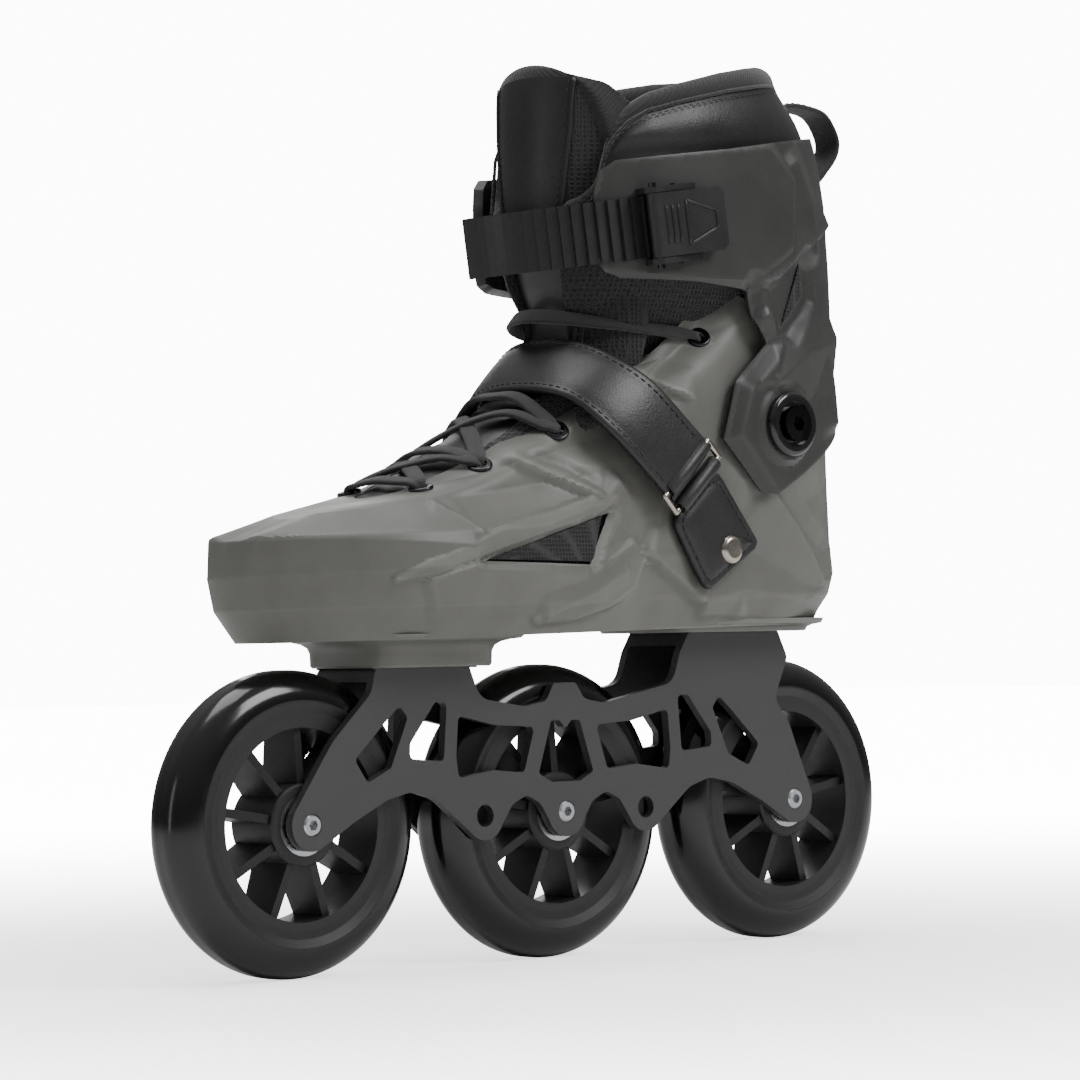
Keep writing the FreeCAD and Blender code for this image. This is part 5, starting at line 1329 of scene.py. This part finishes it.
def make_liner_foot(material):
    """The foot part of the inner boot, just inside the shell."""
    inner = SHELL_CLOSED - SHELL_NORMAL * 3.7
    picked = inner[10:-3:3, ::3]
    obj = grid_mesh("liner_boot", picked, materials=[material])
    merge_close(obj)
    add_modifier(obj, "SMOOTH", factor=0.5, iterations=4)
    apply_modifiers(obj)
    thicken(obj, 0.0055)
    assign(obj, material)
    for polygon in obj.data.polygons:
        polygon.use_smooth = True
    return obj


def make_insole(material):
    """The footbed: rounded slab with a raised heel cup."""
    turns = np.linspace(0, 2, 96, endpoint=False)
    rim = foot_point(np.full(96, 1.0), turns, 11.5)
    rim[:, 0] = np.clip(rim[:, 0], -134, 125)
    middle = np.array([-5, -1, 0])
    floor = lambda x: 131.2 + (131 - x) / 272 * 4.6
    layers = []
    for share, lift in ((0.02, -0.3), (0.5, 0), (0.93, 0.2), (0.985, 0.6), (1.0, 1.6), (0.995, 2.8), (0.96, 3.8), (0.8, 3.6), (0.5, 3.2), (0.02, 3.1)):
        ring = middle + (rim - middle) * share
        heel = smooth_step(-ring[:, 0], 60, 128) * smooth_step(np.full(96, share), 0.6, 1.0) * 2.2
        ring[:, 2] = floor(ring[:, 0]) + lift + (heel if lift > 2 else 0)
        layers.append(ring)
    obj = grid_mesh("insole_bed", np.array(layers), wrap=True, cap=True, materials=[material])
    fix_normals(obj)
    return obj


liner_collar_pad, COLLAR_GRID = make_collar()
tongue_pad, TONGUE_OUTER, TONGUE_PHIS, TONGUE_AT, TONGUE_NORMAL = make_tongue()
collar_piping, collar_stitches = make_piping(COLLAR_GRID)
tongue_welts, tongue_stitches = make_tongue_trim(TONGUE_OUTER, TONGUE_PHIS, TONGUE_AT)
add_piece(make_liner_foot(fabric_mat), "boot", ["liner_foot"])
add_piece(make_insole(insole_mat), "boot", ["insole"])
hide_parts("liner_collar")
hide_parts("tongue_lower", "tongue_upper")
for piece in (liner_collar_pad, collar_piping, collar_stitches, tongue_pad, tongue_welts, tongue_stitches):
    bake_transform(piece)


# ---------------------------------------------------------------- laces

LACE_WIDTH, LACE_THICK = 6.2, 1.9


def over_tongue(x, y, lift):
    """A point just above the tongue or the shell at that place in plan."""
    point, normal = on_shell(x, y, 160)
    flat = TONGUE_OUTER.reshape(-1, 3)
    near = ((flat[:, 0] - x) ** 2 + (flat[:, 1] - y) ** 2 < 9) & (flat[:, 2] < 245)
    z = flat[near, 2].max() if near.any() else -1
    if near.any() and (abs(y) < np.interp(x, [-30, 84], [27, 2])):
        return np.array([x, y, z + lift])
    return np.array([x, y, max(point.z, z) + lift])


def lace_bar(a, b, reach=0.0, lift=2.2, rise=0.0):
    """A flat lace from eyelet a to eyelet b over the tongue."""
    (pa, na), (pb, nb) = a, b
    pa, na, pb, nb = np.array(pa), np.array(na), np.array(pb), np.array(nb)
    toward = unit(pb - pa)
    points = [pa - na * 3.5 + toward * 0.2, pa + na * 0.4 + toward * 0.4, pa + na * 2.6 + toward * 3.2]
    for share in (0.28, 0.5, 0.72):
        x = pa[0] + (pb[0] - pa[0]) * share + reach * math.sin(math.pi * share)
        spot = over_tongue(x, pa[1] + (pb[1] - pa[1]) * share, lift)
        spot[2] += rise * math.sin(math.pi * share)
        points.append(spot)
    points += [pb + nb * 2.6 - toward * 3.2, pb + nb * 0.4 - toward * 0.4, pb - nb * 3.5 - toward * 0.2]
    return lace_band(points, toward, na, nb, np.array([0.35, 0, 0.93]))


def lace_band(points, toward, na, nb, middle_up):
    """A flat band through the points whose face turns from outward in each eyelet to up over the tongue."""
    path, _ = spline(points, 72)
    shares = np.linspace(0, 1, 72)
    level = smooth_step(np.minimum(shares, 1 - shares), 0.03, 0.13)[:, None]
    centre = smooth_step(np.minimum(shares, 1 - shares), 0.1, 0.3)[:, None]
    ends = np.where(shares[:, None] < 0.5, -toward[None, :], toward[None, :])
    close = np.where(shares[:, None] < 0.5, na[None, :], nb[None, :])
    up = unit(ends * (1 - level) + (close * (1 - centre) + middle_up * centre) * level)
    tangent = unit(np.gradient(path, axis=0))
    across = unit(np.cross(up, tangent))
    out = unit(np.cross(tangent, across))
    profile = np.array(rounded_section(LACE_WIDTH, LACE_THICK))
    narrow = 0.5 + 0.5 * level
    grid = path[:, None, :] + across[:, None, :] * (profile[None, :, :1] * narrow[:, :, None]) + out[:, None, :] * profile[None, :, 1:]
    obj = grid_mesh("lace", grid, wrap=True, cap=True, materials=[lace_mat])
    fix_normals(obj)
    return obj


def make_laces():
    spots = EYELET_SPOTS
    pairs = [(spots[2 * i], spots[2 * i + 1]) for i in range(4)]
    bars = [lace_bar(*pairs[0], lift=2.0, reach=3), lace_bar(*pairs[1], lift=2.6, reach=4), lace_bar(*pairs[2], lift=2.8, reach=5)]
    for i in (0, 1):
        bars.append(lace_bar(pairs[i][0], pairs[i + 1][1], lift=0.9))
        bars.append(lace_bar(pairs[i][1], pairs[i + 1][0], lift=2.0))
    (pa, na), (pb, nb) = pairs[3]
    pa, na, pb, nb = np.array(pa), np.array(na), np.array(pb), np.array(nb)
    ahead = np.array([0.8, -0.45, 0.1])
    ring = [pa - na * 3.5, pa + na * 0.4 + ahead * 0.4, pa + na * 2.4 + ahead * 4]
    for y in (26, 14, 0, -14, -26):
        ring.append(np.array([1.5 - 40 * (abs(y) / 33) ** 2.3, y, 241 - 0.006 * y * y]))
    ahead = ahead * np.array([1, -1, 1])
    ring += [pb + nb * 2.4 + ahead * 4, pb + nb * 0.4 + ahead * 0.4, pb - nb * 3.5]
    bars.append(lace_band(ring, np.array([0.5, -0.8, 0]), na, nb, np.array([0.75, 0, 0.5])))
    return join_objects("lace_bars", bars)


add_piece(make_laces(), "boot", ["laces"])


# ---------------------------------------------------------------- instep strap, tab and pull loop

STRAP_STATIONS = [
    (46.8, (-45.5, 192.2), (-24.8, 170.6)), (46, (-39, 198), (-15, 180)), (42, (-23, 214), (0, 195)),
    (33, (-12, 223.5), (9, 206)), (20, (-8.5, 229), (12.5, 210)), (0, (-8, 231), (13, 211)),
    (-16, (-8.5, 229.5), (11, 209)), (-30, (-13, 221.5), (6, 203)), (-40, (-23, 210), (-4, 190)),
    (-45, (-37, 197), (-17, 177)), (-46, (-50, 184), (-32, 162)),
]
TAB_OUTLINE = [(-30.5, 163), (-53.5, 183.2), (-75.6, 155), (-73.9, 152), (-48.5, 135.7), (-43.3, 142.6)]
RING_HIGH, RING_LOW = np.array([-51, 48.6, 186.8]), np.array([-28.5, 48.6, 165.6])


def strap_edges():
    """Upper and lower edges of the instep strap from the ring over to the inner side."""
    upper, _ = spline([(u[0], y, u[1]) for y, u, _ in STRAP_STATIONS], 90)
    lower, _ = spline([(l[0], y, l[1]) for y, _, l in STRAP_STATIONS], 90)
    return upper, lower


def make_instep_strap():
    upper, lower = strap_edges()
    along = unit(np.gradient((upper + lower) / 2, axis=0))
    across = unit(lower - upper)
    out = unit(np.cross(across, along))
    out *= np.sign((out[:, 0:1] * 0.6 + out[:, 2:3]).mean()) or 1
    thick = 3.0
    shares = [0, 0.01, 0.035, 0.08, 0.12, 0.16, 0.3, 0.5, 0.7, 0.84, 0.88, 0.92, 0.965, 0.99, 1]
    lifts = [0.5, 0.82, 0.96, 1, 0.97, 1.05, 1.16, 1.2, 1.16, 1.05, 0.97, 1, 0.96, 0.82, 0.5]
    top = upper[:, None] + (lower - upper)[:, None] * np.array(shares)[None, :, None] + out[:, None] * (np.array(lifts) * thick)[None, :, None]
    low = [(0.99, 0.16), (0.965, 0.03), (0.5, 0), (0.035, 0.03), (0.01, 0.16)]
    under = upper[:, None] + (lower - upper)[:, None] * np.array([a for a, _ in low])[None, :, None] + out[:, None] * (np.array([b for _, b in low]) * thick)[None, :, None]
    grid = np.concatenate([top, under], axis=1)
    obj = grid_mesh("instep_strap_band", grid, wrap=True, cap=True, materials=[leather_mat])
    fix_normals(obj)
    runs = []
    for share in (0.1, 0.9):
        run = upper + (lower - upper) * share + out * (thick * 0.98)
        runs.append((run[3:-2], out[3:-2]))
    return obj, stitches("strap_stitches", runs, 3.2, 2.3, 0.3, thread_mat), upper, lower, out


def make_strap_fold(upper, lower, out):
    """The strap's end turned round the ring and stitched back."""
    start_up, start_low = upper[0], lower[0]
    along = unit((upper[0] + lower[0]) - (upper[2] + lower[2]))
    normal = out[0]
    rows = []
    for angle in np.linspace(-90, 90, 13):
        a = math.radians(angle)
        for_edge = along * math.cos(a) * 2.4 + normal * (1.9 * math.sin(a) + 1.0)
        rows.append((start_up + for_edge, start_low + for_edge))
    path_up = np.array([r[0] for r in rows])
    path_low = np.array([r[1] for r in rows])
    grid = []
    centre = (start_up + start_low) / 2 + normal * 1.0
    for u, l in zip(path_up, path_low):
        mid = (u + l) / 2
        away = unit(mid - centre)
        grid.append([u + (l - u) * 0.02 - away * 0.6, u + (l - u) * 0.02 + away * 0.6, u + (l - u) * 0.3 + away * 0.9, u + (l - u) * 0.7 + away * 0.9,
                     u + (l - u) * 0.98 + away * 0.6, u + (l - u) * 0.98 - away * 0.6])
    obj = grid_mesh("strap_fold", np.array(grid), wrap=True, cap=True, materials=[leather_mat])
    fix_normals(obj)
    return obj


def inset_outline(points, distance):
    """A closed outline moved inwards by a distance, with the same number of corners."""
    p = np.array(points, float)
    area = 0.5 * np.sum(p[:, 0] * np.roll(p[:, 1], -1) - np.roll(p[:, 0], -1) * p[:, 1])
    sign = 1 if area > 0 else -1
    result = []
    for i in range(len(p)):
        a, b, c = p[i - 1], p[i], p[(i + 1) % len(p)]
        d1, d2 = unit(b - a), unit(c - b)
        n1, n2 = sign * np.array([-d1[1], d1[0]]), sign * np.array([-d2[1], d2[0]])
        mid = unit(n1 + n2)
        result.append(b + mid * distance / max(0.35, float(mid @ n1)))
    return np.array(result)


def round_outline(points, radius, steps=5):
    """A closed outline with its corners replaced by arcs."""
    p = np.array(points, float)
    result = []
    for i in range(len(p)):
        a, b, c = p[i - 1], p[i], p[(i + 1) % len(p)]
        reach = min(radius, 0.45 * np.linalg.norm(b - a), 0.45 * np.linalg.norm(c - b))
        start, end = b + unit(a - b) * reach, b + unit(c - b) * reach
        for t in np.linspace(0, 1, steps):
            result.append((1 - t) ** 2 * start + 2 * t * (1 - t) * b + t * t * end)
    return np.array(result)


def make_tab():
    outline = round_outline(TAB_OUTLINE, 5)
    fine = resample_line(np.concatenate([outline, outline[:1]]), 161)[:-1]
    rings = []
    for inset, y in ((0.4, 42.3), (0, 42.9), (0, 44.2), (0.5, 45.0), (1.6, 45.3), (2.6, 44.95), (3.4, 45.35), (6, 45.7)):
        ring = round_outline(inset_outline(TAB_OUTLINE, inset), 5) if inset > 2 else None
        spots = resample_line(np.concatenate([ring, ring[:1]]), 161)[:-1] if ring is not None else fine + (inset_outline(fine[::5], inset).repeat(5, axis=0) - fine[::5].repeat(5, axis=0))[:160]
        rings.append(np.column_stack([spots[:, 0], np.full(160, y), spots[:, 1]]))
    middle = np.array([-54, 45.9, 158])
    for share in (0.6, 0.25, 0.03):
        rings.append(middle + (rings[7] - np.array([0, 0, 0]) - middle) * share)
    obj = grid_mesh("strap_tab_patch", np.array(rings), wrap=True, cap=True, materials=[leather_mat])
    fix_normals(obj)
    seam = np.column_stack([rings[5][:, 0], np.full(160, 45.05), rings[5][:, 2]])
    seam = np.concatenate([seam, seam[:1]])
    return obj, stitches("tab_stitches", [(seam, np.tile([0, 1.0, 0], (161, 1)))], 3.2, 2.3, 0.3, thread_mat)


instep_strap_band, strap_stitches, STRAP_UP, STRAP_LOW, STRAP_OUT = make_instep_strap()
add_piece(instep_strap_band, "boot", ["instep_strap"])
add_piece(strap_stitches, "boot")
add_piece(make_strap_fold(STRAP_UP, STRAP_LOW, STRAP_OUT), "boot")



def make_ring_sleeves():
    """Leather turned round the ring's two long bars, the strap's on one and the tab's on the other."""
    step = np.array([5.6, 0, 5.9])
    along = unit(RING_LOW - RING_HIGH)
    out = np.array([0, 1.0, 0])
    across = unit(np.cross(along, out))
    parts = []
    for offset in (step, np.zeros(3)):
        start, end = RING_HIGH + offset + along * 2.6, RING_LOW + offset - along * 2.6
        rows = []
        for turn in np.linspace(0, 2 * math.pi, 29):
            spoke = across * math.cos(turn) + out * math.sin(turn)
            wall = [(start, 2.0), (start, 2.7), (start + along * 0.5, 3.0), (end - along * 0.5, 3.0), (end, 2.7), (end, 2.0)]
            rows.append([place + spoke * radius for place, radius in wall])
        sleeve = grid_mesh("sleeve", np.array(rows), wrap=True, materials=[leather_mat])
        merge_close(sleeve)
        fix_normals(sleeve)
        parts.append(sleeve)
    return join_objects("ring_sleeves", parts)


add_piece(make_ring_sleeves(), "boot")
strap_tab_patch, tab_stitches = make_tab()
add_piece(strap_tab_patch, "boot", ["strap_tab"])
add_piece(tab_stitches, "boot")


def make_pull_loop():
    ring = [(-126, 0, 326), (-136, 0, 330.5), (-147.5, 0, 330.5), (-157.5, 0, 328), (-163.8, 0, 319.5), (-163, 0, 312.5),
            (-157, 0, 305.5), (-150, 0, 299.5), (-141, 0, 297), (-134.5, 0, 294)]
    path, _ = spline(ring, 70)
    centre = np.array([-147, 0, 314])
    out = unit((path - centre))
    obj = band("pull_loop_webbing", path, out, 13, 1.9, webbing_mat)
    runs = [(path[6:22] + out[6:22] * 1.0 + np.array([0, y, 0]), out[6:22]) for y in (-4.6, 4.6)]
    return obj, stitches("pull_loop_stitches", runs, 3.0, 2.1, 0.28, thread_mat)


pull_loop_webbing, pull_loop_stitches = make_pull_loop()
add_piece(pull_loop_webbing, "ankle_cuff", ["pull_loop"])
add_piece(pull_loop_stitches, "ankle_cuff")


add_piece(make_sole_blocks(shell_mat), "boot", ["shell"])
add_piece(make_serrated_shims(frame_mat), "boot")


# ---------------------------------------------------------------- buckle lever's grip

TILT_ORIGIN = np.array([-40.0, 0, 275])


def buckle_frame(turn=0.367):
    """The buckle's own axes at rest: along the strap, out from the boot, across; as a matrix in mm."""
    a, b = (oval(np.array([math.pi * (turn + d)]), 275.0)[0] for d in (-0.002, 0.002))
    along = unit(b - a)
    out = np.array([along[1], -along[0], 0])
    base = oval(np.array([math.pi * turn]), 275.0)[0] - TILT_ORIGIN
    tilt = Matrix.Rotation(math.radians(8), 3, "Y")
    axes = [tilt @ Vector(v) for v in (-along, out, (0, 0, 1))]
    matrix = Matrix(axes).transposed().to_4x4()
    matrix.translation = Vector(TILT_ORIGIN) + tilt @ Vector(base)
    return matrix


def make_lever_grip(material):
    """A raised tapered outline and three grip bars on the lever's outside."""
    place = buckle_frame()

    def face(u):
        return 8 + (u + 19) * 2.9 / 15 if u < -4 else 10.9 + (u + 4) * 0.2 / 14.5

    parts = []
    outline = [(-15.5, -3.2), (-1.5, -8.2), (-1.5, 8.2), (-15.5, 3.2)]
    runs = [(outline[i], outline[(i + 1) % 4]) for i in range(4)] + [((2 + 2.6 * i, -7), (2 + 2.6 * i, 7)) for i in range(3)]
    for (u0, w0), (u1, w1) in runs:
        path, ups = [], []
        for t in np.linspace(0, 1, 9):
            u, w = u0 + (u1 - u0) * t, w0 + (w1 - w0) * t
            path.append(np.array(place @ Vector((u, face(u) + 0.05, w))))
            ups.append(np.array(place.to_3x3() @ Vector((-0.19 if u < -4 else 0, 1, 0))))
        parts.append(band("grip", np.array(path), np.array(ups), 1.1, 0.9, material))
    return join_objects("lever_grip", parts)


add_piece(make_lever_grip(buckle_mat), "lever")


# ---------------------------------------------------------------- floor, light and camera


def make_stage():
    floor_mat = Mat("floor_paper")
    fibre = floor_mat.noise(900, 3)
    floor_mat.set(Base_Color=floor_mat.mix(fibre, rgb(0.9, 0.9, 0.89), rgb(0.95, 0.95, 0.945)), Roughness=0.9)
    floor_mat.bsdf.inputs["Specular IOR Level"].default_value = 0.1
    split = floor_mat.node("ShaderNodeSeparateXYZ", {"Vector": floor_mat.coords.outputs["Object"]})
    reach = floor_mat.math("SQRT", floor_mat.math("ADD", floor_mat.math("POWER", split.outputs[0], 2.0), floor_mat.math("POWER", split.outputs[1], 2.0)))
    seen = floor_mat.node("ShaderNodeLightPath").outputs["Is Camera Ray"]
    glow = floor_mat.ramp(reach, 0.12, 1.3, 1.6, 14.0, smooth=True)
    floor_mat.set(Emission_Color=rgb(1, 1, 1), Emission_Strength=floor_mat.math("MULTIPLY", seen, glow))
    data = bpy.data.meshes.new("floor")
    size, depth = 6.0, 2.4
    profile = [(-size, 0)] + [(size, 0)]
    verts, faces = [], []
    for x, z in profile:
        verts += [(x, -size, z), (x, size, z)]
    faces.append((0, 1, 3, 2))
    data.from_pydata(verts, [], faces)
    floor = bpy.data.objects.new("floor", data)
    bpy.context.scene.collection.objects.link(floor)
    assign(floor, floor_mat.finish())

    world = bpy.data.worlds.new("studio")
    bpy.context.scene.world = world
    world.use_nodes = True
    tree = world.node_tree
    soft = tree.nodes["Background"]
    soft.inputs["Color"].default_value = (1, 1, 1, 1)
    place = tree.nodes.new("ShaderNodeTexCoord")
    height = tree.nodes.new("ShaderNodeSeparateXYZ")
    sky = tree.nodes.new("ShaderNodeMapRange")
    tree.links.new(place.outputs["Generated"], height.inputs[0])
    tree.links.new(height.outputs[2], sky.inputs["Value"])
    for key, number in (("From Min", -0.1), ("From Max", 1.0), ("To Min", 0.05), ("To Max", 0.62)):
        sky.inputs[key].default_value = number
    tree.links.new(sky.outputs[0], soft.inputs["Strength"])
    seen = tree.nodes.new("ShaderNodeBackground")
    seen.inputs["Color"].default_value = (1, 1, 1, 1)
    seen.inputs["Strength"].default_value = 12
    rays = tree.nodes.new("ShaderNodeLightPath")
    choose = tree.nodes.new("ShaderNodeMixShader")
    tree.links.new(rays.outputs["Is Camera Ray"], choose.inputs[0])
    tree.links.new(soft.outputs[0], choose.inputs[1])
    tree.links.new(seen.outputs[0], choose.inputs[2])
    tree.links.new(choose.outputs[0], tree.nodes["World Output"].inputs["Surface"])

    def area(name, location, target, size, power, tall=None):
        light = bpy.data.lights.new(name, "AREA")
        light.energy = power
        light.size = size
        if tall:
            light.shape = "RECTANGLE"
            light.size_y = tall
        holder = bpy.data.objects.new(name, light)
        bpy.context.scene.collection.objects.link(holder)
        holder.location = location
        holder.rotation_euler = (Vector(target) - Vector(location)).to_track_quat("-Z", "Y").to_euler()

    centre = (0, 0, 0.17)
    area("key", (-0.5, 1.15, 1.2), centre, 0.7, 17)
    area("top", (0.1, -0.1, 1.5), centre, 0.9, 13)
    area("rim", (-0.9, -1.0, 0.9), centre, 0.8, 6)
    area("tread", (1.5, -0.25, 0.35), (0.1, 0, 0.06), 0.25, 1.3, 0.8)


def make_camera():
    """Almost level, from the toe's lateral side, with a long lens."""
    azimuth, elevation, roll = math.radians(138.19), math.radians(-1.4515), math.radians(-1.0455)
    back = Vector((math.sin(azimuth) * math.cos(elevation), -math.cos(azimuth) * math.cos(elevation), math.sin(elevation)))
    right = (-back).cross(Vector((0, 0, 1))).normalized()
    up = right.cross(-back)
    c, s = math.cos(roll), math.sin(roll)
    right, up = right * c + up * s, up * c - right * s
    camera = bpy.data.cameras.new("camera")
    holder = bpy.data.objects.new("camera", camera)
    bpy.context.scene.collection.objects.link(holder)
    matrix = Matrix((right, up, back)).transposed().to_4x4()
    matrix.translation = Vector((1.016955, 1.133818, 0.117623))
    holder.matrix_world = matrix
    camera.sensor_width = 36
    camera.lens = 134.79
    camera.shift_x, camera.shift_y = 0.0121, 0.0015
    camera.clip_start, camera.clip_end = 0.05, 30
    bpy.context.scene.camera = holder


make_stage()
make_camera()
